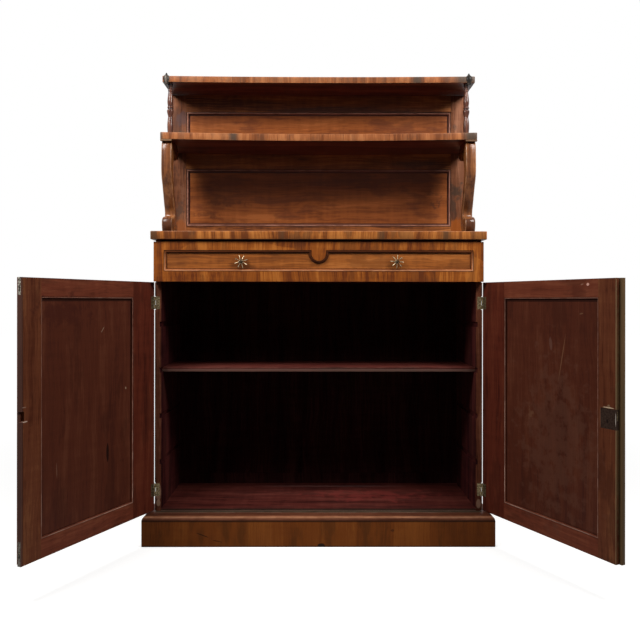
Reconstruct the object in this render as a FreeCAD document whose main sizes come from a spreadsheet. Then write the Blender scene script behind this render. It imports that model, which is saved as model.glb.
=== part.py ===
import FreeCAD, Part
import math
import os
import re
import Sketcher

# Chiffonier: a low cupboard with a drawer over two framed doors, on a plinth, and a
# panelled back with two shelves above.  X runs across (0 in the middle), Y to the back
# (0 at mid-depth of the plinth), Z up (0 on the floor).  The drawer and the loose shelf
# are home, and both doors stand open by their rest angles.  Sizes are in millimetres.

SIZES = {
    # Plinth and the moulding that caps it
    "plinth_side_reach": 32,
    "plinth_front_reach": 50,
    "plinth_height": 79,
    "plinth_board": 20,
    "corner_block": 60,
    "bearer_width": 24,
    "moulding_height": 15,
    "moulding_reach": 26,
    "moulding_quirk": 1,
    # Carcass
    "carcass_width": 990,
    "carcass_depth": 308,
    "carcass_top": 917,
    "side_board": 16,
    "floor_lift": 6,
    "floor_board": 18,
    "dust_board": 16,
    "drawer_lift": 17.5,
    "top_rail_height": 18,
    "top_rail_depth": 40,
    "back_frame_depth": 10,
    "back_stile": 60,
    "muntin_width": 112,
    "back_low_rail": 54,
    "back_high_rail": 57,
    "back_panel": 5,
    "back_panel_tongue": 6,
    # Grooves for the loose shelf, cut along both sides
    "groove_height": 15,
    "groove_depth": 5,
    "groove_lowest": 242.7,
    "groove_pitch": 139.4,
    "groove_count": 4,
    "shelf_running_gap": 0.2,
    "shelf_board": 14,
    "shelf_setback": 25,
    "shelf_back_gap": 48,
    "shelf_end_gap": 1,
    # Top slab
    "slab_thickness": 25,
    "slab_side_reach": 11,
    "slab_front_reach": 30,
    # Drawer
    "slab_reveal": 6.5,
    "drawer_front_overhang": 2.2,
    "drawer_front_height": 120,
    "drawer_front_board": 21.5,
    "drawer_front_gap": 0.5,
    "drawer_top_border": 25.5,
    "drawer_low_border": 30.5,
    "drawer_side_border": 30.2,
    "drawer_sunk": 7,
    "drawer_moulding_width": 9,
    "drawer_moulding_setback": 0.8,
    "tongue_radius": 22,
    "tongue_straight": 1,
    "drawer_side_gap": 1.5,
    "drawer_side_board": 10,
    "drawer_side_height": 88,
    "drawer_back_gap": 6.5,
    "drawer_bottom_board": 6,
    "drawer_bottom_lift": 5,
    "drawer_bottom_tongue": 5,
    "runner_gap": 0.3,
    "knob_spacing": 470,
    "knob_low": 30.5,
    "knob_radius": 19.5,
    "knob_valley": 7,
    "knob_points": 8,
    "knob_neck": 5,
    "knob_stand": 9,
    "knob_rim": 1.6,
    "knob_rise": 5,
    # Doors
    "door_thickness": 22,
    "door_gap": 2,
    "door_clearance": 1.5,
    "door_reveal": 1.9,
    "left_open_angle": 115,
    "right_open_angle": 116,
    "meeting_lap": 8,
    "meeting_gap": 1,
    "hinge_stile": 96,
    "meeting_stile": 63,
    "door_top_rail": 46.6,
    "door_bottom_rail": 47.5,
    "door_panel": 8,
    "door_panel_setback": 6,
    "door_panel_groove": 8,
    "door_panel_tongue": 7,
    "bead_width": 6,
    "bead_height": 5.5,
    "door_moulding_width": 9,
    "door_moulding_height": 7,
    # Butt hinges
    "hinge_height": 38,
    "hinge_end": 62.5,
    "hinge_leaf": 1.6,
    "hinge_leaf_width": 12,
    "pin_out": 3.5,
    "pin_forward": 1,
    "pin_radius": 1.2,
    "pin_running_gap": 0.05,
    "knuckle_radius": 2.6,
    "knuckle_gap": 0.3,
    "knuckle_count": 3,
    "knuckle_clearance": 0.4,
    "door_edge_gap": 0.5,
    # Flush bolts in the left door's meeting edge
    "bolt_plate": 1.6,
    "bolt_plate_width": 9,
    "upper_plate_height": 43,
    "lower_plate_height": 59,
    "bolt_radius": 2.5,
    "bolt_bore_gap": 0.3,
    "bolt_inset": 7,
    "bolt_length": 36,
    "bolt_end_gap": 0.6,
    "bolt_knob_from_end": 27,
    "bolt_knob_radius": 1.4,
    "bolt_knob_sink": 0.2,
    "bolt_slot_height": 16,
    "upper_bolt_travel": 10,
    "lower_bolt_travel": 9,
    "bolt_socket_depth": 12,
    # Lock in the right door
    "lock_width": 46.5,
    "lock_height": 50,
    "lock_depth": 10,
    "lock_plate": 2,
    "lock_low": 324.5,
    "lock_bolt_height": 22,
    "lock_bolt_thickness": 4,
    "lock_bolt_length": 24,
    "lock_bolt_low": 22.5,
    "lock_bolt_gap": 0.3,
    "lock_bolt_setback": 0.3,
    "lock_bolt_travel": 8,
    "keeper_clearance": 1.5,
    "key_from_edge": 26.3,
    "key_low": 18.4,
    "key_hole_radius": 2.5,
    "drill_pin_radius": 1,
    "escutcheon_radius": 9,
    "escutcheon_plate": 1,
    # Panelled back above the slab
    "backboard_side_reach": 6.5,
    "backboard_setback": 1,
    "backboard_thickness": 18,
    "backboard_stile": 44.5,
    "backboard_low_rail": 48,
    "lower_panel_height": 197,
    "backboard_middle_rail": 113,
    "backboard_height": 501,
    "backboard_high_rail": 58,
    "backboard_panel": 6,
    "backboard_panel_setback": 8,
    "backboard_panel_groove": 6,
    "backboard_panel_tongue": 5,
    "backboard_moulding_width": 11.5,
    "backboard_moulding_height": 7,
    # Shelves of the upper part
    "middle_shelf_low": 299,
    "middle_shelf_board": 22,
    "middle_shelf_depth": 210.5,
    "top_shelf_board": 20,
    "top_shelf_depth": 161,
    # Scroll supports
    "scroll_width": 27,
    "scroll_inset": 5.5,
    "scroll_front": 1.5,
    "foot_roll_radius": 22,
    "foot_roll_back": 31,
    "top_roll_radius": 25,
    "top_roll_back": 95,
    "brow_back": 35,
    "brow_bend": 42,
    "shoulder_back": 9,
    "shoulder_drop": 31,
    "shoulder_bend": 175,
    "knee_drop": 87,
    "knee_bend": 88,
    "shin_back": 17,
    "shin_drop": 142,
    "ankle_back": 46,
    "ankle_drop": 206,
    "ankle_bend": 60,
    "throat_back": 53,
    "throat_rise": 56,
    "throat_bend": 13,
    "heel_length": 10,
    "heel_bend": 52,
    "spur_back": 90,
    "spur_rise": 60,
    "spur_bend": 70,
    "calf_back": 76,
    "hollow_back": 49,
    "hollow_bend": 90,
    "arch_back": 36,
    "arch_drop": 90,
    "arch_bend": 62,
    "vault_back": 68,
    "vault_drop": 38,
    "vault_bend": 16,
    "lip_forward": 18,
    "lip_drop": 42,
    # Turned columns and corner buds
    "column_inset": 14.5,
    "column_back": 22,
    "column_foot": 7.5,
    "column_neck": 5.6,
    "column_vase": 9.6,
    "column_collar": 9.2,
    "column_ring": 7.4,
    "column_cap": 10.5,
    "lower_vase_height": 40,
    "collar_low": 73,
    "collar_height": 20,
    "upper_vase_height": 20,
    "collar_sink": 1.5,
    "column_fillet": 3.4,
    "cap_height": 18,
    "ring_drop": 8.4,
    "bud_radius": 7.8,
    "bud_height": 32,
    "bud_inset": 2.5,
    "bud_back": 5,
    "bud_gap": 0.1,
    "bud_foot": 5.5,
    "bud_belly": 12,
    "bud_tip": 1.2,
}

# Places worked out from the sizes, each a formula of sizes and of other places.
PLACES = {
    "carcass_side": "carcass_width / 2",
    "plinth_side": "carcass_side + plinth_side_reach",
    "plinth_depth": "carcass_depth + plinth_front_reach",
    "plinth_front": "-(plinth_depth) / 2",
    "plinth_back": "plinth_depth / 2",
    "ledge": "plinth_height + moulding_height",
    "carcass_inner": "carcass_side - side_board",
    "carcass_back": "plinth_back",
    "carcass_front": "carcass_back - carcass_depth",
    "floor_top": "ledge + floor_lift",
    "back_face": "carcass_back - back_frame_depth",
    "drawer_low": "carcass_top - slab_reveal - drawer_front_height",
    "drawer_high": "carcass_top - slab_reveal",
    "dust_top": "drawer_low + drawer_lift",
    "shelf_groove": "groove_lowest + (groove_count - 2) * groove_pitch",
    "shelf_low": "shelf_groove - groove_height / 2 + shelf_running_gap",
    "slab_top": "carcass_top + slab_thickness",
    "door_back": "carcass_front - door_gap",
    "door_front": "door_back - door_thickness",
    "door_middle": "door_back - door_thickness / 2",
    "door_low": "ledge + door_clearance",
    "door_high": "drawer_low - door_reveal",
    "pin_across": "carcass_side + pin_out",
    "pin_deep": "carcass_front - pin_forward",
    "door_edge": "pin_across - door_edge_gap",
    "hinge_low": "door_low + hinge_end",
    "hinge_high": "door_high - hinge_end",
    "knuckle_room": "knuckle_radius + knuckle_clearance",
    "stile_inner": "door_edge - hinge_stile",
    "tongue_edge": "meeting_lap / 2 - meeting_gap / 2",
    "rebate_edge": "meeting_lap / 2 + meeting_gap / 2",
    "meeting_inner": "meeting_stile - rebate_edge",
    "rail_high": "door_high - door_top_rail",
    "rail_low": "door_low + door_bottom_rail",
    "panel_back": "door_back - door_panel_setback",
    "panel_front": "panel_back - door_panel",
    "drawer_back_face": "carcass_front - drawer_front_gap",
    "drawer_face": "drawer_back_face - drawer_front_board",
    "sunk_face": "drawer_face + drawer_sunk",
    "sunk_low": "drawer_low + drawer_low_border",
    "sunk_high": "drawer_high - drawer_top_border",
    "drawer_front_side": "carcass_side + drawer_front_overhang",
    "sunk_side": "drawer_front_side - drawer_side_border",
    "tongue_centre": "sunk_high - drawer_moulding_width - tongue_straight",
    "box_side": "carcass_inner - drawer_side_gap",
    "box_inner": "box_side - drawer_side_board",
    "box_low": "dust_top + runner_gap",
    "box_high": "box_low + drawer_side_height",
    "box_back": "back_face - drawer_back_gap",
    "backboard_side": "carcass_side + backboard_side_reach",
    "backboard_inner": "backboard_side - backboard_stile",
    "backboard_back": "carcass_back - backboard_setback",
    "backboard_front": "backboard_back - backboard_thickness",
    "backboard_top": "slab_top + backboard_height",
    "lower_field_low": "slab_top + backboard_low_rail",
    "lower_field_high": "lower_field_low + lower_panel_height",
    "upper_field_low": "lower_field_high + backboard_middle_rail",
    "upper_field_high": "backboard_top - backboard_high_rail",
    "field_face": "backboard_front + backboard_panel_setback",
    "shelf_under": "slab_top + middle_shelf_low",
    "shelf_over": "shelf_under + middle_shelf_board",
    "shelf_front": "backboard_front - middle_shelf_depth",
    "top_shelf_front": "backboard_back - top_shelf_depth",
    "column_height": "backboard_top - shelf_over",
    "bolt_across": "tongue_edge - bolt_inset",
    "bolt_deep": "(door_back + door_middle) / 2",
    "upper_bolt_high": "door_high - bolt_end_gap",
    "lower_bolt_low": "door_low + bolt_end_gap",
    "upper_plate_low": "door_high - upper_plate_height",
    "lower_plate_high": "door_low + lower_plate_height",
    "upper_knob": "door_high - bolt_knob_from_end",
    "lower_knob": "door_low + bolt_knob_from_end",
    "lock_base": "door_low + lock_low",
    "lock_bolt_front": "door_back - lock_depth / 2 - lock_bolt_thickness / 2",
    "lock_bolt_back": "door_back - lock_depth / 2 + lock_bolt_thickness / 2",
    "key_across": "rebate_edge + key_from_edge",
    "key_high": "lock_base + key_low",
}

document = FreeCAD.newDocument("Chiffonier")
sheet = document.addObject("Spreadsheet::Sheet", "Sizes")
for row, (size_name, size) in enumerate(SIZES.items(), start=1):
    sheet.set(f"A{row}", size_name)
    sheet.set(f"B{row}", str(size))
    sheet.setAlias(f"B{row}", size_name)
document.recompute()


def formula(text):
    """Spell a formula out until it names nothing but cells of the sheet."""
    def spell(word):
        name = word.group(0)
        if name in PLACES:
            return f"({formula(PLACES[name])})"
        if name in SIZES:
            return f"Sizes.{name}"
        return name
    return re.sub(r"[a-z_]+", spell, text)


def value(text):
    """The present number of a formula."""
    return float(sheet.evalExpression(formula(text)))


def bind(thing, quantity, text):
    """Tie one quantity of an object to a formula of the sheet."""
    thing.setExpression(quantity, formula(text))


nodes = []


def node(name, thing):
    """Give the finished object its name as a separate piece."""
    thing.Label = name
    nodes.append(thing)
    return thing


def board(name, left, right, front, back, low, high):
    """A rectangular board between six planes."""
    box = document.addObject("Part::Box", name)
    bind(box, "Length", f"({right}) - ({left})")
    bind(box, "Width", f"({back}) - ({front})")
    bind(box, "Height", f"({high}) - ({low})")
    bind(box, "Placement.Base.x", left)
    bind(box, "Placement.Base.y", front)
    bind(box, "Placement.Base.z", low)
    return box


UP = FreeCAD.Rotation()
BACKWARDS = FreeCAD.Rotation(FreeCAD.Vector(1, 0, 0), -90)
SIDEWAYS = FreeCAD.Rotation(FreeCAD.Vector(0, 1, 0), 90)
OPENING = FreeCAD.Rotation(FreeCAD.Vector(0, 0, 1), 10)

# How far a cutting tool passes the face that it comes out of.
PAST = 1


def rod(name, radius, length, across, deep, high, turn=UP):
    """A cylinder from the point given, along Z or, turned, along Y."""
    cylinder = document.addObject("Part::Cylinder", name)
    cylinder.Placement = FreeCAD.Placement(FreeCAD.Vector(), turn)
    bind(cylinder, "Radius", radius)
    bind(cylinder, "Height", length)
    bind(cylinder, "Placement.Base.x", across)
    bind(cylinder, "Placement.Base.y", deep)
    bind(cylinder, "Placement.Base.z", high)
    return cylinder


def group(name, pieces):
    """Several solids that share one node."""
    compound = document.addObject("Part::Compound", name)
    compound.Links = pieces
    return compound


def cut(name, base, tools):
    """The base less all the tools."""
    result = document.addObject("Part::Cut", name)
    result.Base = base
    result.Tool = tools[0] if len(tools) == 1 else group(f"{name}_tools", tools)
    return result


def fuse(name, pieces):
    """One solid made of all the pieces."""
    result = document.addObject("Part::MultiFuse", name)
    result.Shapes = pieces
    result.Refine = True
    return result


def origin_plane(body, role):
    """The body's own origin plane of that role."""
    return next(plane for plane in body.Origin.OriginFeatures if plane.Role == role)


def arc_between(start, end, bend):
    """The short arc from start to end: a left turn where bend is positive, else a right turn."""
    chord = end - start
    left = FreeCAD.Vector(-chord.y, chord.x, 0).normalize()
    rise = math.sqrt(max(bend * bend - chord.Length ** 2 / 4, 0))
    centre = (start + end) * 0.5 + left * math.copysign(rise, bend)
    first, last = (start, end) if bend > 0 else (end, start)
    from_angle = math.atan2(first.y - centre.y, first.x - centre.x)
    to_angle = math.atan2(last.y - centre.y, last.x - centre.x)
    if to_angle < from_angle:
        to_angle += 2 * math.pi
    circle = Part.Circle(centre, FreeCAD.Vector(0, 0, 1), abs(bend))
    return Part.ArcOfCircle(circle, from_angle, to_angle)


def swell_between(start, end):
    """A smooth S that leaves start upright and arrives at end upright, as a turner cuts it."""
    half_rise = FreeCAD.Vector(0, (end.y - start.y) / 2, 0)
    curve = Part.BSplineCurve()
    curve.buildFromPolesMultsKnots([start, start + half_rise, end - half_rise, end],
                                   [4, 4], [0, 1], False, 3)
    return curve


def draw(body, name, role, offset, outline):
    """A closed sketch on an origin plane, moved along its normal by the offset.

    Each entry of the outline is (across, up, bend): a corner, and the radius of the arc that
    leaves it (positive for a left turn), "swell" for an upright S, or None for a straight line.
    """
    sketch = body.newObject("Sketcher::SketchObject", name)
    sketch.AttachmentSupport = [(origin_plane(body, role), "")]
    sketch.MapMode = "FlatFace"
    bind(sketch, "AttachmentOffset.Base.z", offset)
    corners = [FreeCAD.Vector(value(across), value(up), 0) for across, up, bend in outline]
    ends = []
    for index, (across, up, bend) in enumerate(outline):
        start = corners[index]
        end = corners[(index + 1) % len(corners)]
        if bend is None:
            sketch.addGeometry(Part.LineSegment(start, end), False)
            ends.append((1, 2))
        elif bend == "swell":
            sketch.addGeometry(swell_between(start, end), False)
            ends.append((1, 2))
        else:
            radius = value(bend)
            sketch.addGeometry(arc_between(start, end, radius), False)
            ends.append((1, 2) if radius > 0 else (2, 1))
    for index, (across, up, bend) in enumerate(outline):
        following = (index + 1) % len(outline)
        sketch.addConstraint(Sketcher.Constraint(
            "Coincident", index, ends[index][1], following, ends[following][0]))
        for kind, distance, text in (("DistanceX", corners[index].x, across),
                                     ("DistanceY", corners[index].y, up)):
            place = sketch.addConstraint(
                Sketcher.Constraint(kind, -1, 1, index, ends[index][0], distance))
            bind(sketch, f"Constraints[{place}]", text)
        if bend not in (None, "swell"):
            size = sketch.addConstraint(Sketcher.Constraint("Radius", index, abs(value(bend))))
            bind(sketch, f"Constraints[{size}]", f"abs({bend})")
    return sketch


def pad(body, sketch, length):
    """Grow the sketch along its normal."""
    feature = body.newObject("PartDesign::Pad", f"{sketch.Name}_pad")
    feature.Profile = sketch
    bind(feature, "Length", length)
    return feature


def pocket(body, sketch, depth):
    """Sink the sketch into the solid, against its normal."""
    feature = body.newObject("PartDesign::Pocket", f"{sketch.Name}_pocket")
    feature.Profile = sketch
    bind(feature, "Length", depth)
    return feature


def spin(body, sketch):
    """Turn the sketch about its upright axis."""
    feature = body.newObject("PartDesign::Revolution", f"{sketch.Name}_turned")
    feature.Profile = sketch
    feature.ReferenceAxis = (sketch, ["V_Axis"])
    feature.Angle = 360
    return feature


def sawn(name, role, offset, outline, length):
    """A body made from one outline grown to a length."""
    body = document.addObject("PartDesign::Body", name)
    pad(body, draw(body, f"{name}_outline", role, offset, outline), length)
    return body


def turned(name, across, deep, low, profile):
    """A body turned about an upright axis through the place given."""
    body = document.addObject("PartDesign::Body", name)
    spin(body, draw(body, f"{name}_profile", "XZ_Plane", "0", profile))
    bind(body, "Placement.Base.x", across)
    bind(body, "Placement.Base.y", deep)
    bind(body, "Placement.Base.z", low)
    return body


def handed(side, text):
    """A place measured from the middle outwards, on the side given."""
    return f"-({text})" if side == "left" else text


def handed_board(name, side, inner, outer, front, back, low, high):
    """A board between two distances from the middle, on the side given."""
    if side == "left":
        return board(name, f"-({outer})", f"-({inner})", front, back, low, high)
    return board(name, inner, outer, front, back, low, high)


# Shares of an ovolo's width and height: its fillet, the step below it, its thin inner edge.
FILLET_SHARE = 0.16
STEP_SHARE = 0.12
EDGE_SHARE = 0.1


def ovolo(width, height):
    """A moulding's section as points (in from its outer edge, up from its seat).

    A flat fillet along the outer edge, a small step, then a quarter-round falling inwards.
    """
    fillet = FILLET_SHARE * width
    step = STEP_SHARE * height
    points = [(0, 0), (0, height), (fillet, height), (fillet, height - step)]
    for turn in (30, 60, 90):
        inward = fillet + (width - fillet) * math.sin(math.radians(turn))
        rise = (height - step) * math.cos(math.radians(turn))
        points.append((inward, max(rise, EDGE_SHARE * height)))
    points.append((width, 0))
    return points


def strip(section, start, end):
    """A straight length of moulding between two mitred ends.

    start and end each map a point of the section to its place in space.
    """
    wires = []
    for place in (start, end):
        wires.append(Part.makePolygon([place(inward, rise) for inward, rise in section + section[:1]]))
    return Part.makeLoft(wires, True, True)


def corner_map(across, high, seat, inward_across, inward_up):
    """Place section points at a mitred corner: seat is the plane it stands on, facing forward."""
    def place(inward, rise):
        return FreeCAD.Vector(across + inward * inward_across, seat - rise,
                              high + inward * inward_up)
    return place


def mitred_frame(left, right, low, high, seat, section, facing=1):
    """Four mitred lengths of moulding round an upright rectangle."""
    depth = [(inward, rise * facing) for inward, rise in section]
    corners = [corner_map(left, low, seat, 1, 1), corner_map(right, low, seat, -1, 1),
               corner_map(right, high, seat, -1, -1), corner_map(left, high, seat, 1, -1)]
    return [strip(depth, corners[index], corners[(index + 1) % 4]) for index in range(4)]


def shaped(name, solids):
    """A feature that holds solids worked out from the sheet's numbers."""
    feature = document.addObject("Part::Feature", name)
    feature.Shape = solids[0] if len(solids) == 1 else Part.makeCompound(solids)
    return feature


# Plinth: four boards round corner blocks, with a bearer from front to back in the middle.

EDGE_STEPS = 5


def plinth():
    side = "plinth_side"
    inner = f"({side} - plinth_board)"
    front_outline = [
        (f"-{side}", "plinth_front", None),
        (side, "plinth_front", None),
        (inner, "plinth_front + plinth_board", None),
        (f"-{inner}", "plinth_front + plinth_board", None),
    ]
    node("plinth_front", sawn("plinth_front", "XY_Plane", "0", front_outline, "plinth_height"))
    for hand, sign in (("left", "-"), ("right", "")):
        outline = [
            (f"{sign}{side}", "plinth_front", None),
            (f"{sign}{side}", "plinth_back", None),
            (f"{sign}{inner}", "plinth_back", None),
            (f"{sign}{inner}", "plinth_front + plinth_board", None),
        ]
        name = f"plinth_side_{hand}"
        node(name, sawn(name, "XY_Plane", "0", outline, "plinth_height"))
    node("plinth_back", board("plinth_back_board", f"-{inner}", inner, "plinth_back - plinth_board",
                              "plinth_back", "0", "plinth_height"))
    front = "plinth_front + plinth_board"
    back = "plinth_back - plinth_board"
    bearers = [board("plinth_middle_bearer", "-bearer_width / 2", "bearer_width / 2",
                     front, back, "0", "plinth_height")]
    for hand in ("left", "right"):
        bearers.append(handed_board(f"front_block_{hand}", hand, f"{inner} - corner_block", inner,
                                    front, f"{front} + corner_block", "0", "plinth_height"))
        bearers.append(handed_board(f"back_block_{hand}", hand, f"{inner} - corner_block", inner,
                                    f"{back} - corner_block", back, "0", "plinth_height"))
    node("plinth_bearers", group("plinth_bearers", bearers))


def plinth_moulding():
    """Three lengths with an ovolo edge, mitred at the front corners, flat on top to the carcass."""
    reach = value("moulding_reach")
    height = value("moulding_height")
    quirk = value("moulding_quirk")
    base = value("plinth_height")
    side = value("plinth_side")
    front = value("plinth_front")
    back = value("plinth_back")
    edge = []
    for index in range(EDGE_STEPS + 1):
        turn = math.radians(90 * index / EDGE_STEPS)
        edge.append((reach - (reach - quirk) * math.cos(turn), height * math.sin(turn)))
    width = side - value("carcass_side")
    section = edge + [(width, height), (width, 0)]

    def corner(hand):
        def place(inward, rise):
            return FreeCAD.Vector(hand * (side - inward), front + inward, base + rise)
        return place

    def end(hand):
        def place(inward, rise):
            return FreeCAD.Vector(hand * (side - inward), back, base + rise)
        return place

    depth = value("carcass_front") - front - width
    flat = Part.makeBox(2 * (side - width), depth, height,
                        FreeCAD.Vector(width - side, front + width, base))
    socket = Part.makeCylinder(
        value("bolt_radius + bolt_bore_gap"), value("bolt_socket_depth"),
        FreeCAD.Vector(value("bolt_across"), value("bolt_deep"),
                       value("ledge - bolt_socket_depth")))
    front_length = strip(section, corner(-1), corner(1)).fuse(flat).removeSplitter().cut(socket)
    solids = [front_length.Solids[0]]
    for hand in (-1, 1):
        solids.append(strip(section, corner(hand), end(hand)))
    node("plinth_moulding", shaped("plinth_moulding", solids))


# Carcass: two grooved sides, floor, dust board, top rail and a panelled back.

def carcass_side(side):
    name = f"carcass_side_{side}"
    outline = [
        (handed(side, "carcass_side"), "plinth_height", None),
        (handed(side, "carcass_side"), "carcass_top", None),
        (handed(side, "carcass_inner"), "carcass_top", None),
    ]
    for index in reversed(range(int(value("groove_count")))):
        middle = f"(groove_lowest + {index} * groove_pitch)"
        groove = "(carcass_inner + groove_depth)"
        outline.append((handed(side, "carcass_inner"), f"{middle} + groove_height / 2", None))
        outline.append((handed(side, groove), f"{middle} + groove_height / 2", None))
        outline.append((handed(side, groove), f"{middle} - groove_height / 2", None))
        outline.append((handed(side, "carcass_inner"), f"{middle} - groove_height / 2", None))
    outline.append((handed(side, "carcass_inner"), "plinth_height", None))
    panel = sawn(f"{name}_panel", "XZ_Plane", "-(carcass_back)", outline, "carcass_depth")
    recesses = []
    for place in ("hinge_low", "hinge_high"):
        recesses.append(handed_board(f"{name}_{place}_recess", side,
                                     "pin_across - pin_out - hinge_leaf_width", "carcass_side",
                                     "carcass_front", "carcass_front + hinge_leaf",
                                     f"{place} - hinge_height / 2", f"{place} + hinge_height / 2"))
    node(name, cut(name, panel, recesses))


def carcass():
    for side in ("left", "right"):
        carcass_side(side)
    inner = "carcass_inner"
    node("cupboard_floor", board("cupboard_floor", f"-{inner}", inner, "carcass_front", "back_face",
                                 "floor_top - floor_board", "floor_top"))
    node("dust_board", board("drawer_dust_board", f"-{inner}", inner, "carcass_front", "back_face",
                             "dust_top - dust_board", "dust_top"))
    node("drawer_top_rail", board("drawer_top_rail", f"-{inner}", inner, "carcass_front",
                                  "carcass_front + top_rail_depth",
                                  "carcass_top - top_rail_height", "carcass_top"))
    low = "floor_top - floor_board"
    rail_top = "floor_top - floor_board + back_low_rail"
    rail_under = "carcass_top - back_high_rail"
    stile = f"({inner} - back_stile)"
    muntin = "muntin_width / 2"
    frame = [
        board("back_stile_left", f"-{inner}", f"-{stile}", "back_face", "carcass_back",
              low, "carcass_top"),
        board("back_stile_right", stile, inner, "back_face", "carcass_back", low, "carcass_top"),
        board("back_muntin", f"-{muntin}", muntin, "back_face", "carcass_back",
              rail_top, rail_under),
        board("back_bottom_rail", f"-{stile}", stile, "back_face", "carcass_back", low, rail_top),
        board("back_top_rail", f"-{stile}", stile, "back_face", "carcass_back",
              rail_under, "carcass_top"),
    ]
    panels = []
    slots = []
    for hand in ("left", "right"):
        for kind, tongue, pieces in (("panel", "back_panel_tongue", panels),
                                     ("slot", "back_panel_tongue", slots)):
            pieces.append(handed_board(
                f"back_{kind}_{hand}", hand, f"{muntin} - {tongue}", f"{stile} + {tongue}",
                "back_face + (back_frame_depth - back_panel) / 2",
                "back_face + (back_frame_depth + back_panel) / 2",
                f"{rail_top} - {tongue}", f"{rail_under} + {tongue}"))
    node("back_frame", cut("back_frame", group("back_frame_pieces", frame), slots))
    node("back_panels", group("back_panels", panels))


def slab():
    node("top_slab", board("top_slab_board", "-(carcass_side + slab_side_reach)",
                           "carcass_side + slab_side_reach", "carcass_front - slab_front_reach",
                           "carcass_back", "carcass_top", "slab_top"))


def loose_shelf():
    """The loose shelf lies in the pair of grooves below the topmost."""
    reach = "(carcass_inner + groove_depth - shelf_end_gap)"
    node("adjustable_shelf", board("adjustable_shelf_board", f"-{reach}", reach,
                                   "carcass_front + shelf_setback",
                                   "back_face - shelf_back_gap",
                                   "shelf_low", "shelf_low + shelf_board"))


# Drawer: a front with a sunk field, a box behind it and two star knobs.

def drawer_front():
    half = "drawer_front_side"
    body = document.addObject("PartDesign::Body", "drawer_front_body")
    face = [
        (f"-({half})", "drawer_low", None),
        (half, "drawer_low", None),
        (half, "drawer_high", None),
        (f"-({half})", "drawer_high", None),
    ]
    pad(body, draw(body, "drawer_front_face", "XZ_Plane", "-(drawer_back_face)", face),
        "drawer_front_board")
    sunk = [
        ("-(sunk_side)", "sunk_low", None),
        ("sunk_side", "sunk_low", None),
        ("sunk_side", "sunk_high", None),
        ("tongue_radius", "sunk_high", None),
        ("tongue_radius", "tongue_centre", "-tongue_radius"),
        ("0", "tongue_centre - tongue_radius", "-tongue_radius"),
        ("-tongue_radius", "tongue_centre", None),
        ("-tongue_radius", "sunk_high", None),
        ("-(sunk_side)", "sunk_high", None),
    ]
    pocket(body, draw(body, "drawer_sunk_field", "XZ_Plane", "-(drawer_face)", sunk), "drawer_sunk")
    socket = rod("upper_bolt_socket", "bolt_radius + bolt_bore_gap", "bolt_socket_depth",
                 "bolt_across", "bolt_deep", "drawer_low")
    node("drawer_front", cut("drawer_front", body, [socket]))


def drawer_moulding():
    """Ovolo round the sunk field, with a half-round drop about the tongue at the top."""
    width = value("drawer_moulding_width")
    section = ovolo(width, value("drawer_sunk - drawer_moulding_setback"))
    side = value("sunk_side")
    low = value("sunk_low")
    high = value("sunk_high")
    seat = value("sunk_face")
    radius = value("tongue_radius")
    centre = value("tongue_centre")
    low_left = corner_map(-side, low, seat, 1, 1)
    low_right = corner_map(side, low, seat, -1, 1)
    high_left = corner_map(-side, high, seat, 1, -1)
    high_right = corner_map(side, high, seat, -1, -1)
    drop_left = corner_map(-radius, high, seat, -1, -1)
    drop_right = corner_map(radius, high, seat, 1, -1)
    solids = [
        strip(section, low_left, low_right),
        strip(section, low_right, high_right),
        strip(section, high_right, drop_right),
        strip(section, drop_left, high_left),
        strip(section, high_left, low_left),
    ]
    level_left = corner_map(-radius, centre, seat, -1, 0)
    level_right = corner_map(radius, centre, seat, 1, 0)
    face = Part.Face(Part.makePolygon([level_right(*point) for point in section + section[:1]]))
    half_ring = face.revolve(FreeCAD.Vector(0, seat, centre), FreeCAD.Vector(0, 1, 0), 180)
    drop = half_ring.fuse([strip(section, drop_right, level_right),
                           strip(section, level_left, drop_left)])
    solids.append(drop.removeSplitter().Solids[0])
    return solids


def drawer_box():
    sides = []
    for hand in ("left", "right"):
        plank = handed_board(f"drawer_side_{hand}_board", hand, "box_inner", "box_side",
                             "drawer_back_face", "box_back", "box_low", "box_high")
        slot = handed_board(f"drawer_side_{hand}_slot", hand, "box_inner",
                            "box_inner + drawer_bottom_tongue", "drawer_back_face", "box_back",
                            "box_low + drawer_bottom_lift",
                            "box_low + drawer_bottom_lift + drawer_bottom_board")
        sides.append(cut(f"drawer_side_{hand}", plank, [slot]))
    node("drawer_sides", group("drawer_sides", sides))
    node("drawer_back", board("drawer_back_board", "-(box_inner)", "box_inner",
                              "box_back - drawer_side_board", "box_back",
                              "box_low + drawer_bottom_lift + drawer_bottom_board", "box_high"))
    node("drawer_bottom", board("drawer_bottom_panel", "-(box_inner + drawer_bottom_tongue)",
                                "box_inner + drawer_bottom_tongue", "drawer_back_face", "box_back",
                                "box_low + drawer_bottom_lift",
                                "box_low + drawer_bottom_lift + drawer_bottom_board"))


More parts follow.
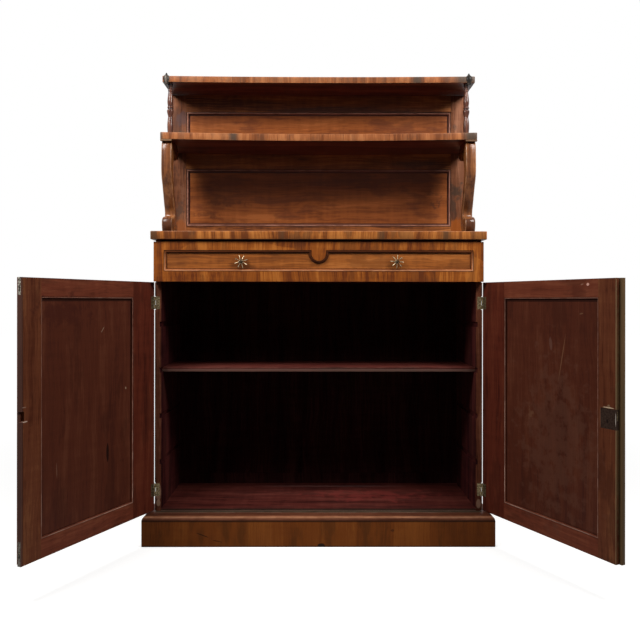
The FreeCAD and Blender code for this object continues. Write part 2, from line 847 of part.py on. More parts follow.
def star_knob(hand):
    """A star of ridged points on a round neck that stands on the sunk field."""
    count = int(value("knob_points"))
    tip = value("knob_radius")
    valley = value("knob_valley")
    rim_back = value("sunk_face - knob_stand")
    rim_front = rim_back - value("knob_rim")
    summit = FreeCAD.Vector(0, rim_front - value("knob_rise"), 0)
    ring = []
    for index in range(2 * count):
        reach = tip if index % 2 == 0 else valley
        turn = math.pi * index / count
        ring.append((reach * math.sin(turn), reach * math.cos(turn)))
    faces = [Part.Face(Part.makePolygon([FreeCAD.Vector(x, rim_back, z) for x, z in ring + ring[:1]]))]
    for index, (x, z) in enumerate(ring):
        next_x, next_z = ring[(index + 1) % len(ring)]
        near = FreeCAD.Vector(x, rim_front, z)
        far = FreeCAD.Vector(next_x, rim_front, next_z)
        near_back = FreeCAD.Vector(x, rim_back, z)
        far_back = FreeCAD.Vector(next_x, rim_back, next_z)
        faces.append(Part.Face(Part.makePolygon([near, far, summit, near])))
        faces.append(Part.Face(Part.makePolygon([near, far, far_back, near_back, near])))
    star = Part.Solid(Part.Shell(faces))
    if star.Volume < 0:
        star.reverse()
    neck = Part.makeCylinder(value("knob_neck"), value("knob_stand"),
                             FreeCAD.Vector(0, rim_back, 0), FreeCAD.Vector(0, 1, 0))
    knob = shaped(f"drawer_knob_{hand}", [star.fuse(neck).Solids[0]])
    bind(knob, "Placement.Base.x", handed(hand, "knob_spacing / 2"))
    bind(knob, "Placement.Base.z", "sunk_low + knob_low")
    node(f"drawer_knob_{hand}", knob)


def drawer():
    drawer_front()
    node("drawer_moulding", shaped("drawer_moulding", drawer_moulding()))
    drawer_box()
    for hand in ("left", "right"):
        star_knob(hand)


# Doors: framed panels, made closed and then swung open about their pins.

def swung(name, side, pieces):
    """Group the pieces and swing them open about the pin of their door."""
    door_group = group(name, pieces)
    door_group.Placement = FreeCAD.Placement(FreeCAD.Vector(), OPENING)
    turn = "-left_open_angle" if side == "left" else "right_open_angle"
    across = handed(side, "pin_across")
    bind(door_group, "Placement.Rotation.Angle", turn)
    bind(door_group, "Placement.Base.x",
         f"({across}) * (1 - cos({turn})) + (pin_deep) * sin({turn})")
    bind(door_group, "Placement.Base.y",
         f"(pin_deep) * (1 - cos({turn})) - ({across}) * sin({turn})")
    return node(name, door_group)


def hinge_stile(side):
    name = f"{side}_door_hinge_stile"
    groove = "(stile_inner + door_panel_groove)"
    outline = [
        (handed(side, "door_edge"), "door_back", None),
        (handed(side, "door_edge"), "door_front", None),
        (handed(side, "stile_inner"), "door_front", None),
        (handed(side, "stile_inner"), "panel_front", None),
        (handed(side, groove), "panel_front", None),
        (handed(side, groove), "panel_back", None),
        (handed(side, "stile_inner"), "panel_back", None),
        (handed(side, "stile_inner"), "door_back", None),
    ]
    plain = sawn(f"{name}_wood", "XY_Plane", "door_low", outline, "door_high - door_low")
    tools = []
    for place in ("hinge_low", "hinge_high"):
        low = f"{place} - hinge_height / 2"
        tools.append(handed_board(f"{name}_{place}_recess", side,
                                  "pin_across - pin_out - hinge_leaf_width", "pin_across",
                                  "door_back - hinge_leaf", "door_back",
                                  low, f"{place} + hinge_height / 2"))
        tools.append(rod(f"{name}_{place}_room", "knuckle_room",
                         "hinge_height + 2 * knuckle_clearance", handed(side, "pin_across"),
                         "pin_deep", f"{low} - knuckle_clearance"))
    swung(name, side, [cut(f"{name}_cut", plain, tools)])


def meeting_stile(side):
    """The left stile keeps its inner half long; the right one laps over it in front."""
    name = f"{side}_door_meeting_stile"
    groove = "(meeting_inner - door_panel_groove)"
    inner_edge = "-(tongue_edge)" if side == "left" else "rebate_edge"
    front_edge = "rebate_edge" if side == "left" else "-(tongue_edge)"
    outline = [
        (handed(side, inner_edge), "door_back", None),
        (handed(side, inner_edge), "door_middle", None),
        (handed(side, front_edge), "door_middle", None),
        (handed(side, front_edge), "door_front", None),
        (handed(side, "meeting_inner"), "door_front", None),
        (handed(side, "meeting_inner"), "panel_front", None),
        (handed(side, groove), "panel_front", None),
        (handed(side, groove), "panel_back", None),
        (handed(side, "meeting_inner"), "panel_back", None),
        (handed(side, "meeting_inner"), "door_back", None),
    ]
    plain = sawn(f"{name}_wood", "XY_Plane", "door_low", outline, "door_high - door_low")
    tools = bolt_recesses(name) if side == "left" else lock_recesses(name)
    swung(name, side, [cut(f"{name}_cut", plain, tools)])


def bolt_recesses(name):
    """Bores and plate seats of both flush bolts, and the notch that takes the lock bolt."""
    reach = "bolt_length + bolt_end_gap"
    upper_low = f"door_high - ({reach}) - upper_bolt_travel / 2"
    bore = "bolt_radius + bolt_bore_gap"
    seat_front = "bolt_deep - bolt_plate_width / 2"
    seat_back = "bolt_deep + bolt_plate_width / 2"
    slot_front = "bolt_deep - bolt_knob_radius - bolt_bore_gap"
    slot_back = "bolt_deep + bolt_knob_radius + bolt_bore_gap"
    notch_low = "lock_base + lock_bolt_low - keeper_clearance"
    notch_high = "lock_base + lock_bolt_low + lock_bolt_height + keeper_clearance"
    return [
        rod(f"{name}_upper_bore", bore, f"door_high - ({upper_low}) + {PAST}",
            "bolt_across", "bolt_deep", upper_low),
        rod(f"{name}_lower_bore", bore, f"{reach} + lower_bolt_travel / 2 + {PAST}",
            "bolt_across", "bolt_deep", f"door_low - {PAST}"),
        board(f"{name}_upper_seat", "tongue_edge - bolt_plate", f"tongue_edge + {PAST}",
              seat_front, seat_back, "upper_plate_low", f"door_high + {PAST}"),
        board(f"{name}_lower_seat", "tongue_edge - bolt_plate", f"tongue_edge + {PAST}",
              seat_front, seat_back, f"door_low - {PAST}", "lower_plate_high"),
        board(f"{name}_upper_slot", "bolt_across", "tongue_edge", slot_front, slot_back,
              "upper_knob - bolt_slot_height / 2", "upper_knob + bolt_slot_height / 2"),
        board(f"{name}_lower_slot", "bolt_across", "tongue_edge", slot_front, slot_back,
              "lower_knob - bolt_slot_height / 2", "lower_knob + bolt_slot_height / 2"),
        board(f"{name}_keeper_notch", "tongue_edge - lock_bolt_travel - keeper_clearance",
              f"tongue_edge + {PAST}", "lock_bolt_front - keeper_clearance",
              f"door_back + {PAST}", notch_low, notch_high),
    ]


def lock_recesses(name):
    """The seat of the lock case and the keyhole through to the front."""
    return [
        board(f"{name}_case_seat", f"rebate_edge - {PAST}", "rebate_edge + lock_width",
              "door_back - lock_depth", f"door_back + {PAST}", "lock_base",
              "lock_base + lock_height"),
        rod(f"{name}_keyhole", "key_hole_radius", "door_thickness", "key_across",
            f"door_front - {PAST}", "key_high", BACKWARDS),
    ]


def door_rails(side):
    for place, low, high, groove_low, groove_high in (
            ("top", "rail_high", "door_high", "rail_high", "rail_high + door_panel_groove"),
            ("bottom", "door_low", "rail_low", "rail_low - door_panel_groove", "rail_low")):
        name = f"{side}_door_{place}_rail"
        plain = handed_board(f"{name}_wood", side, "meeting_inner", "stile_inner",
                             "door_front", "door_back", low, high)
        groove = handed_board(f"{name}_groove", side, "meeting_inner", "stile_inner",
                              "panel_front", "panel_back", groove_low, groove_high)
        swung(name, side, [cut(f"{name}_cut", plain, [groove])])


def door_trim(side):
    """The bead on the inner face and the ovolo on the outer face, both round the panel."""
    spans = sorted([value(handed(side, "meeting_inner")), value(handed(side, "stile_inner"))])
    low = value("rail_low")
    high = value("rail_high")
    bead = ovolo(value("bead_width"), value("bead_height"))
    outer = ovolo(value("door_moulding_width"), value("door_moulding_height"))
    inside = mitred_frame(spans[0], spans[1], low, high, value("panel_back"), bead, facing=-1)
    outside = mitred_frame(spans[0], spans[1], low, high, value("panel_front"), outer)
    swung(f"{side}_door_inner_bead", side, [shaped(f"{side}_door_bead_strips", inside)])
    swung(f"{side}_door_moulding", side, [shaped(f"{side}_door_moulding_strips", outside)])


def hinge_halves(side):
    """Butt hinges: odd knuckles and the pin belong to the carcass leaf, even ones to the door's."""
    across = handed(side, "pin_across")
    count = int(value("knuckle_count"))
    carcass_halves = []
    door_halves = []
    for place in ("hinge_low", "hinge_high"):
        tag = f"{side}_{place}"
        low = f"({place} - hinge_height / 2)"
        high = f"({place} + hinge_height / 2)"
        pitch = "((hinge_height + knuckle_gap) / knuckle_count)"
        fixed = [rod(f"{tag}_pin", "pin_radius", "hinge_height", across, "pin_deep", low)]
        swinging = []
        bores = []
        for index in range(count):
            start = f"{low} + {index} * {pitch}"
            knuckle = rod(f"{tag}_knuckle_{index}", "knuckle_radius", f"{pitch} - knuckle_gap",
                          across, "pin_deep", start)
            if index % 2 == 0:
                fixed.append(knuckle)
            else:
                swinging.append(knuckle)
        inner = "pin_across - pin_out - hinge_leaf_width"
        leaf = handed_board(f"{tag}_carcass_plate", side, inner, "pin_across",
                            "carcass_front", "carcass_front + hinge_leaf", low, high)
        plate = handed_board(f"{tag}_door_plate", side, inner, "pin_across",
                             "door_back - hinge_leaf", "door_back", low, high)
        leaf_gaps = []
        plate_gaps = []
        for index in range(count):
            odd = index % 2 == 1
            start = f"{low} + {index} * {pitch} - knuckle_gap"
            gap = handed_board(f"{tag}_gap_{index}", side, "pin_across - knuckle_room",
                               f"pin_across + {PAST}", f"door_back - hinge_leaf - {PAST}",
                               f"carcass_front + hinge_leaf + {PAST}", start,
                               f"{start} + {pitch} + knuckle_gap")
            if odd:
                leaf_gaps.append(gap)
            else:
                plate_gaps.append(gap)
        fixed_leaf = cut(f"{tag}_carcass_leaf", leaf, leaf_gaps)
        door_leaf = cut(f"{tag}_door_leaf", plate, plate_gaps)
        bores.append(rod(f"{tag}_bore", "pin_radius + pin_running_gap", "hinge_height",
                         across, "pin_deep", low))
        carcass_halves.append(fuse(f"{tag}_carcass_half", fixed + [fixed_leaf]))
        door_halves.append(cut(f"{tag}_door_half",
                               fuse(f"{tag}_door_solid", swinging + [door_leaf]), bores))
    name = f"carcass_hinge_leaves_{side}"
    node(name, group(name, carcass_halves))
    swung(f"{side}_door_hinge_leaves", side, door_halves)


def flush_bolts():
    """A plate and a sliding bolt at each end of the left door's meeting edge."""
    plates = []
    for place, low, high in (("upper", "upper_plate_low", "door_high"),
                             ("lower", "door_low", "lower_plate_high")):
        plate = board(f"{place}_bolt_plate_blank", "tongue_edge - bolt_plate", "tongue_edge",
                      "bolt_deep - bolt_plate_width / 2", "bolt_deep + bolt_plate_width / 2",
                      low, high)
        slot = board(f"{place}_bolt_plate_slot", f"tongue_edge - bolt_plate - {PAST}",
                     f"tongue_edge + {PAST}", "bolt_deep - bolt_knob_radius - bolt_bore_gap",
                     "bolt_deep + bolt_knob_radius + bolt_bore_gap",
                     f"{place}_knob - bolt_slot_height / 2", f"{place}_knob + bolt_slot_height / 2")
        plates.append(cut(f"{place}_bolt_plate", plate, [slot]))
    swung("left_door_bolt_plates", "left", plates)
    for place, low, knob in (
            ("upper", "upper_bolt_high - bolt_length", "upper_knob - upper_bolt_travel / 2"),
            ("lower", "lower_bolt_low", "lower_knob + lower_bolt_travel / 2")):
        shaft = rod(f"{place}_bolt_shaft", "bolt_radius", "bolt_length",
                    "bolt_across", "bolt_deep", low)
        stud = rod(f"{place}_bolt_stud", "bolt_knob_radius", "bolt_inset - bolt_knob_sink",
                   "bolt_across", "bolt_deep", knob,
                   SIDEWAYS)
        swung(f"{place}_flush_bolt", "left", [fuse(f"{place}_bolt_solid", [shaft, stud])])


def door_lock():
    """Lock case with its keyhole and drill pin, the sliding bolt, and a round escutcheon."""
    case = board("lock_case_blank", "rebate_edge", "rebate_edge + lock_width",
                 "door_back - lock_depth", "door_back", "lock_base", "lock_base + lock_height")
    channel = board("lock_bolt_channel", f"rebate_edge - {PAST}",
                    "rebate_edge + lock_bolt_setback + lock_bolt_length + lock_bolt_gap",
                    "lock_bolt_front - lock_bolt_gap", "lock_bolt_back + lock_bolt_gap",
                    "lock_base + lock_bolt_low - lock_bolt_gap",
                    "lock_base + lock_bolt_low + lock_bolt_height + lock_bolt_gap")
    keyhole = rod("lock_case_keyhole", "key_hole_radius", f"lock_depth - lock_plate + {PAST}",
                  "key_across", f"door_back - lock_depth - {PAST}", "key_high", BACKWARDS)
    drill_pin = rod("lock_drill_pin", "drill_pin_radius", "lock_depth - lock_plate / 2",
                    "key_across", "door_back - lock_depth", "key_high", BACKWARDS)
    hollow = cut("lock_case_hollow", case, [channel, keyhole])
    bolt = board("lock_bolt_bar", "rebate_edge + lock_bolt_setback",
                 "rebate_edge + lock_bolt_setback + lock_bolt_length",
                 "lock_bolt_front", "lock_bolt_back",
                 "lock_base + lock_bolt_low", "lock_base + lock_bolt_low + lock_bolt_height")
    swung("lock_bolt", "right", [bolt])
    disc = rod("escutcheon_disc", "escutcheon_radius", "escutcheon_plate", "key_across",
               "door_front - escutcheon_plate", "key_high", BACKWARDS)
    eye = rod("escutcheon_eye", "key_hole_radius", f"escutcheon_plate + 2 * {PAST}", "key_across",
              f"door_front - escutcheon_plate - {PAST}", "key_high", BACKWARDS)
    swung("right_door_lock_case", "right",
          [fuse("lock_case_solid", [hollow, drill_pin]), cut("escutcheon_ring", disc, [eye])])


def doors():
    for side in ("left", "right"):
        hinge_stile(side)
        meeting_stile(side)
        door_rails(side)
        panel = handed_board(f"{side}_door_panel_board", side,
                             "meeting_inner - door_panel_tongue", "stile_inner + door_panel_tongue",
                             "panel_front", "panel_back", "rail_low - door_panel_tongue",
                             "rail_high + door_panel_tongue")
        swung(f"{side}_door_panel", side, [panel])
        door_trim(side)
        hinge_halves(side)
    flush_bolts()
    door_lock()


# Upper part: a panelled back, two shelves, scroll supports below and turned columns above.

def backboard():
    groove = "(backboard_inner + backboard_panel_groove)"
    slot_front = "field_face"
    slot_back = "field_face + backboard_panel"
    stiles = []
    for side in ("left", "right"):
        outline = [
            (handed(side, "backboard_side"), "backboard_back", None),
            (handed(side, "backboard_side"), "backboard_front", None),
            (handed(side, "backboard_inner"), "backboard_front", None),
            (handed(side, "backboard_inner"), slot_front, None),
            (handed(side, groove), slot_front, None),
            (handed(side, groove), slot_back, None),
            (handed(side, "backboard_inner"), slot_back, None),
            (handed(side, "backboard_inner"), "backboard_back", None),
        ]
        stiles.append(sawn(f"backboard_stile_{side}", "XY_Plane", "slab_top", outline,
                           "backboard_height"))
    node("backboard_stiles", group("backboard_stiles", stiles))
    rails = []
    fields = {
        "lower": ("lower_field_low", "lower_field_high"),
        "upper": ("upper_field_low", "upper_field_high"),
    }
    for name, low, high in (("lower", "slab_top", "lower_field_low"),
                            ("middle", "lower_field_high", "upper_field_low"),
                            ("upper", "upper_field_high", "backboard_top")):
        rails.append(board(f"backboard_{name}_rail", "-(backboard_inner)", "backboard_inner",
                           "backboard_front", "backboard_back", low, high))
    slots = []
    for name, (low, high) in fields.items():
        slots.append(board(f"{name}_field_slot", "-(backboard_inner)", "backboard_inner",
                           slot_front, slot_back, f"{low} - backboard_panel_groove",
                           f"{high} + backboard_panel_groove"))
        node(f"{name}_back_panel", board(
            f"{name}_back_panel_board", "-(backboard_inner + backboard_panel_tongue)",
            "backboard_inner + backboard_panel_tongue", slot_front, slot_back,
            f"{low} - backboard_panel_tongue", f"{high} + backboard_panel_tongue"))
        section = ovolo(value("backboard_moulding_width"), value("backboard_moulding_height"))
        inner = value("backboard_inner")
        strips = mitred_frame(-inner, inner, value(low), value(high), value("field_face"), section)
        node(f"{name}_panel_moulding", shaped(f"{name}_panel_moulding", strips))
    node("backboard_rails", cut("backboard_rails", group("backboard_rail_boards", rails), slots))


def shelves():
    node("middle_shelf", board("middle_shelf_board_box", "-(backboard_side)", "backboard_side",
                               "shelf_front", "backboard_front", "shelf_under", "shelf_over"))
    plain = board("top_shelf_board_box", "-(backboard_side)", "backboard_side", "top_shelf_front",
                  "backboard_back", "backboard_top", "backboard_top + top_shelf_board")
    seats = []
    for side in ("left", "right"):
        seats.append(rod(f"bud_seat_{side}", "bud_radius + bud_gap", "top_shelf_board",
                         handed(side, "backboard_side - bud_inset"), "top_shelf_front + bud_back",
                         "backboard_top"))
    node("top_shelf", cut("top_shelf", plain, seats))


def scroll_support(side):
    """An S-scroll: a swelling front, a roll under the shelf behind and a roll on the slab in front."""
    name = f"scroll_support_{side}"
    front = "shelf_front + scroll_front"
    top = "shelf_under"
    foot_centre = f"({front} + foot_roll_back)"
    top_centre = f"({front} + top_roll_back)"
    outline = [
        (f"{top_centre}", top, None),
        (f"{front} + brow_back", top, "brow_bend"),
        (f"{front} + shoulder_back", f"{top} - shoulder_drop", "shoulder_bend"),
        (front, f"{top} - knee_drop", "knee_bend"),
        (f"{front} + shin_back", f"{top} - shin_drop", None),
        (f"{front} + ankle_back", f"{top} - ankle_drop", "-ankle_bend"),
        (f"{front} + throat_back", "slab_top + throat_rise", "-throat_bend"),
        (foot_centre, "slab_top + 2 * foot_roll_radius", "foot_roll_radius"),
        (f"{foot_centre} - foot_roll_radius", "slab_top + foot_roll_radius", "foot_roll_radius"),
        (foot_centre, "slab_top", None),
        (f"{foot_centre} + heel_length", "slab_top", "heel_bend"),
        (f"{front} + spur_back", "slab_top + spur_rise", "spur_bend"),
        (f"{front} + calf_back", f"{top} - ankle_drop", None),
        (f"{front} + hollow_back", f"{top} - shin_drop", "-hollow_bend"),
        (f"{front} + arch_back", f"{top} - arch_drop", "-arch_bend"),
        (f"{front} + vault_back", f"{top} - vault_drop", "-vault_bend"),
        (f"{top_centre} - lip_forward", f"{top} - lip_drop", "top_roll_radius"),
        (f"{top_centre} + top_roll_radius", f"{top} - top_roll_radius", "top_roll_radius"),
    ]
    low = "-(backboard_side - scroll_inset)" if side == "left" else (
        "backboard_side - scroll_inset - scroll_width")
    body = document.addObject("PartDesign::Body", name)
    pad(body, draw(body, f"{name}_outline", "YZ_Plane", low, outline), "scroll_width")
    node(name, body)


def column(side):
    """A turned column: foot, two vases about a swelling collar, ring, neck and flared cap."""
    neck = "column_neck"
    vase = "column_vase"
    waist = "2 * column_fillet"
    collar_high = "collar_low + collar_height"
    upper_vase = f"{collar_high} + upper_vase_height"
    ring = "column_height - cap_height - ring_drop"
    cap = "column_height - cap_height"
    profile = [
        ("0", "0", None),
        ("column_foot", "0", None),
        (neck, waist, "swell"),
        (vase, "lower_vase_height", None),
        (neck, "collar_low", None),
        ("column_collar - collar_sink", "collar_low", None),
        ("column_collar", f"({collar_high} + collar_low) / 2", None),
        ("column_collar - collar_sink", collar_high, None),
        (neck, collar_high, "swell"),
        (vase, upper_vase, None),
        (neck, ring, None),
        ("column_ring", ring, None),
        ("column_ring", f"{ring} + column_fillet", None),
        (neck, cap, "swell"),
        ("column_cap", "column_height - column_fillet", None),
        ("column_cap", "column_height", None),
        ("0", "column_height", None),
    ]
    return turned(f"turned_column_{side}", handed(side, "backboard_side - column_inset"),
                  "top_shelf_front + column_back", "shelf_over", profile)


def bud(side):
    """A turned bud let into the front corner of the top shelf."""
    profile = [
        ("0", "0", None),
        ("bud_foot", "0", None),
        ("bud_radius", "bud_belly", "swell"),
        ("bud_tip", "bud_height", None),
        ("0", "bud_height", None),
    ]
    return turned(f"corner_bud_{side}", handed(side, "backboard_side - bud_inset"),
                  "top_shelf_front + bud_back", "backboard_top", profile)


plinth()
plinth_moulding()
carcass()
slab()
loose_shelf()
drawer()
doors()
backboard()
shelves()
for side in ("left", "right"):
    scroll_support(side)
node("turned_columns", group("turned_columns", [column("left"), column("right")]))
node("corner_finials", group("corner_finials", [bud("left"), bud("right")]))

document.recompute()
for thing in document.Objects:
    if any(word in ("Invalid", "Error") for word in thing.State):
        raise RuntimeError(f"{thing.Label} failed: {thing.State}")
for piece in nodes:
    if piece.Shape.isNull() or not piece.Shape.isValid() or not piece.Shape.Solids:
        raise RuntimeError(f"{piece.Label} has no sound shape")
os.makedirs("parts", exist_ok=True)
for piece in nodes:
    piece.Shape.exportStep(os.path.join("parts", f"{piece.Label}.step"))
print(len(nodes), "pieces written")
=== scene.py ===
import math
import bmesh
import bpy
import numpy as np
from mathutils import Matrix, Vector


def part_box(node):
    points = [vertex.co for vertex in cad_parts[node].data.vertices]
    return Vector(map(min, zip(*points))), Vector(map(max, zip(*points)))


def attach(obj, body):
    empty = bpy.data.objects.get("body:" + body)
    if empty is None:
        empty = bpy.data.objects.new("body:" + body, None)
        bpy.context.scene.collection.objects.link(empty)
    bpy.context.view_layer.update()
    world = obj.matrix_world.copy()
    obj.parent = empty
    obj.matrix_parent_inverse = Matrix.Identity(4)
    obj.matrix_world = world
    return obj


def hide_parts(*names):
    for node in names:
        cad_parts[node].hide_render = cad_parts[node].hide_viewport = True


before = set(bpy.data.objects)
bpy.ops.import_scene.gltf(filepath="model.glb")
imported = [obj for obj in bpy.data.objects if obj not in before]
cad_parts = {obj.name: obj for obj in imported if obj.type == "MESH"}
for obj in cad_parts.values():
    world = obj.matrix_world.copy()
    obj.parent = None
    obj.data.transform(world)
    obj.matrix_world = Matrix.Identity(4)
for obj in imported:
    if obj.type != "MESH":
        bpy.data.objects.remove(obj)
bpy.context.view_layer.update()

# Plinth skirt.  The cabinet stands on a low box of veneered boards, mitred at the two front
# corners, with the veneer's grain upright.  Its lower front arris is worn and chipped.

SKIRT_SIDE = 0.527
SKIRT_FRONT = -0.179
SKIRT_BACK = 0.179
SKIRT_BOARD = 0.02
SKIRT_TOP = 0.079
SKIRT_CORNER = 0.003


def put(tree, kind, values=(), **settings):
    """Add a shader node: settings are its options, values its sockets, numbers or links."""
    node = tree.nodes.new(f"ShaderNode{kind}")
    for option, setting in settings.items():
        setattr(node, option, setting)
    for socket, given in dict(values).items():
        if isinstance(given, bpy.types.NodeSocket):
            tree.links.new(given, node.inputs[socket])
        else:
            node.inputs[socket].default_value = given
    return node


def maths(tree, how, *numbers, clamp=False):
    """Numbers put together by one operation."""
    return put(tree, "Math", enumerate(numbers), operation=how, use_clamp=clamp).outputs[0]


def sums(tree, how, first, second):
    """Two numbers put together by one operation, kept between 0 and 1."""
    return maths(tree, how, first, second, clamp=True)


def times(tree, first, second):
    """Two shares multiplied."""
    return sums(tree, "MULTIPLY", first, second)


def vectors(tree, how, *places):
    """Vectors put together by one operation."""
    return put(tree, "VectorMath", enumerate(places), operation=how).outputs[
        "Value" if how == "LENGTH" else "Vector"]


def part(tree, place, axis):
    """One coordinate of a place."""
    return put(tree, "SeparateXYZ", {0: place}).outputs[axis]


def blend(tree, share, under, over):
    """One colour laid over another by a share from 0 to 1; plain ones are in thousandths."""
    colours = [(*(number / 1000 for number in tint), 1.0) if isinstance(tint, tuple) else tint
               for tint in (under, over)]
    return put(tree, "Mix", {0: share, 6: colours[0], 7: colours[1]}, data_type="RGBA").outputs[2]


def choose(tree, share, under, over):
    """One place or the other, by a share of 0 or 1."""
    return put(tree, "Mix", {0: share, 4: under, 5: over}, data_type="VECTOR").outputs[1]


def between(tree, number, low, high):
    """A smooth step from 0 at low to 1 at high."""
    return put(tree, "MapRange", {"Value": number, "From Min": low, "From Max": high},
               interpolation_type="SMOOTHSTEP").outputs[0]


def ramp(tree, number, start, end):
    """A number from start to end as the given one goes from 0 to 1."""
    return put(tree, "MapRange", {"Value": number, "To Min": start, "To Max": end}).outputs[0]


def clouds(tree, where, stretch, detail=3.0, rough=0.55):
    """Fractal noise of the place, with the place scaled by its own factor along each axis."""
    return put(tree, "TexNoise", {"Vector": vectors(tree, "MULTIPLY", where, stretch), "Scale": 1.0,
                                  "Detail": detail, "Roughness": rough}).outputs[0]


def own_place(tree):
    """Object coordinates, in metres."""
    return put(tree, "TexCoord").outputs["Object"]


def along_grain(tree):
    """The piece's own grain attribute: along the grain, then two ways across it, in metres."""
    return put(tree, "Attribute", attribute_name="grain").outputs["Vector"]


def held(tree, name):
    """A share that the piece holds as an attribute, 0 where it has none of that name."""
    return put(tree, "Attribute", attribute_name=name).outputs["Fac"]


def turned(tree, place, turn, move=(0, 0, 0)):
    """A place turned, then moved."""
    return put(tree, "Mapping", {"Vector": place, "Rotation": turn, "Location": move}).outputs[0]


def by_place(turn):
    """Object coordinates turned so that X runs along the grain."""
    return lambda tree: turned(tree, own_place(tree), turn)


ACROSS = (0, 0, 0)
UPRIGHT = (0, math.pi / 2, 0)
long_grain = by_place(ACROSS)
upright_grain = by_place(UPRIGHT)


def blot(tree, where, centre, reach, tilt, ragged, soft):
    """1 inside a ragged ellipse about a centre, 0 outside: its own coordinates' length under 1."""
    local = put(tree, "Mapping", {"Vector": where, "Location": centre, "Rotation": (0, tilt, 0),
                                  "Scale": reach}, vector_type="TEXTURE").outputs[0]
    fine = 0.7 / min(reach)
    rough = clouds(tree, where, (fine, fine, fine), 5.0, 0.65)
    edge = maths(tree, "MULTIPLY_ADD", rough, ragged, vectors(tree, "LENGTH", local))
    return between(tree, edge, 1.0 + ragged * 0.5, 1.0 - soft + ragged * 0.5)


def new_material(name):
    """A material, its node tree and its surface."""
    material = bpy.data.materials.new(name)
    material.use_nodes = True
    return material, material.node_tree, material.node_tree.nodes["Principled BSDF"]


GRAIN_WANDER = (0.0, 0.045, 0.045)
BAND_PART, STREAK_PART, RIPPLE_PART = 0.5, 0.38, 0.12
PORE_PART = 0.35
STAIN_AND_SHADE_PART = 0.85


def timber(name, tones, where, seed, bands=26.0, streaks=190.0, spread=0.1, figure=0.35,
           crisp=0.09, leaf=0.0, shade=(30, 12, 8), dirt_and_shade=None, gloss=0.34, specular=0.12,
           wear_and_highlight=(420, 200, 100), scuff=(0.16, 0.42), other=None, marks=None):
    """Wood from its grain: broad bands and fine streaks, both long noise, pick the tone.

    tones are dark, middle and light, spread apart over twice the spread of the noise.  With a leaf
    width, strips of veneer of that width differ in tone.  A cloudy figure lays shade over it,
    pores darken and roughen it, the wear attribute lightens arrises (scuff: everywhere, and more
    in places) as worn polish and, on some pieces, as painted highlight, and the stain attribute
    darkens patches toward the dirt colour: real marks, and on some pieces painted shade in
    hollows, quirks and under edges.  other is a second finish (mask, tones, gloss) where the mask
    is 1; marks adds single blemishes.
    """
    material, tree, surface = new_material(name)
    plain = where(tree)
    shifted = vectors(tree, "ADD", plain, (seed * 1.7, seed * 0.31, seed * 0.23))
    wander = put(tree, "TexNoise", {"Vector": shifted, "Scale": 3.2, "Detail": 2.0}).outputs[1]
    bent = vectors(tree, "MULTIPLY_ADD", wander, GRAIN_WANDER, shifted)
    band = clouds(tree, bent, (2.2, bands, bands))
    streak = clouds(tree, bent, (7.0, streaks, streaks), 4.0, 0.62)
    ripple = clouds(tree, bent, (60.0, 8.0, 8.0), 2.0)
    tone = sums(tree, "ADD", times(tree, band, BAND_PART), times(tree, streak, STREAK_PART))
    tone = sums(tree, "ADD", times(tree, ripple, RIPPLE_PART), tone)
    if leaf:
        strip = maths(tree, "FLOOR", maths(tree, "DIVIDE", part(tree, bent, 1), leaf))
        jump = put(tree, "TexWhiteNoise", {"W": strip}, noise_dimensions="1D").outputs["Value"]
        tone = sums(tree, "SUBTRACT", maths(tree, "MULTIPLY_ADD", jump, spread, tone), spread / 2)

    def colours(three):
        low = blend(tree, between(tree, tone, 0.5 - spread, 0.5), three[0], three[1])
        return blend(tree, between(tree, tone, 0.5, 0.5 + spread), low, three[2])

    colour = colours(tones)
    roughness = gloss
    if other:
        mask = other[0](tree)
        colour = blend(tree, mask, colour, colours(other[1]))
        roughness = ramp(tree, mask, gloss, other[2])
    cloud = clouds(tree, shifted, (6.0, 19.0, 19.0), 4.0)
    dull = times(tree, between(tree, cloud, 0.53, 0.53 + crisp), figure)
    colour = blend(tree, dull, colour, shade)
    pore = between(tree, clouds(tree, bent, (45.0, 1100.0, 1100.0), 2.0), 0.6, 0.7)
    colour = blend(tree, times(tree, pore, PORE_PART), colour, shade)
    if marks:
        colour = marks(tree, colour)
    # Darkening toward the dirt colour by the stain attribute: real marks, and on some pieces
    # painted shade.
    stain_and_shade = held(tree, "stain_and_shade")
    if other:
        stain_and_shade = sums(tree, "SUBTRACT", stain_and_shade, mask)
    colour = blend(tree, times(tree, stain_and_shade, STAIN_AND_SHADE_PART), colour, dirt_and_shade or shade)
    # Lightening toward the wear colour at arrises: worn polish, and on some pieces a painted
    # highlight.
    scuffs = between(tree, clouds(tree, plain, (30.0, 60.0, 60.0), 2.0), 0.4, 0.62)
    bare = sums(tree, "ADD", times(tree, scuffs, scuff[1]), scuff[0])
    colour = blend(tree, times(tree, held(tree, "wear_and_highlight"), bare), colour, wear_and_highlight)
    tree.links.new(colour, surface.inputs["Base Color"])
    haze = maths(tree, "MULTIPLY_ADD", cloud, 0.22, roughness)
    tree.links.new(sums(tree, "SUBTRACT", haze, 0.11), surface.inputs["Roughness"])
    height = sums(tree, "SUBTRACT", times(tree, streak, 0.5), times(tree, pore, 0.5))
    bump = put(tree, "Bump", {"Height": height, "Strength": 0.12, "Distance": 0.0006})
    tree.links.new(bump.outputs[0], surface.inputs["Normal"])
    surface.inputs["Specular IOR Level"].default_value = specular
    return material


BROAD_OVER = 0.009
BROAD_EDGE = {"ragged": 4.5, "soft": 0.8}
FINE_EDGE = {"ragged": 0.5, "soft": 0.25}


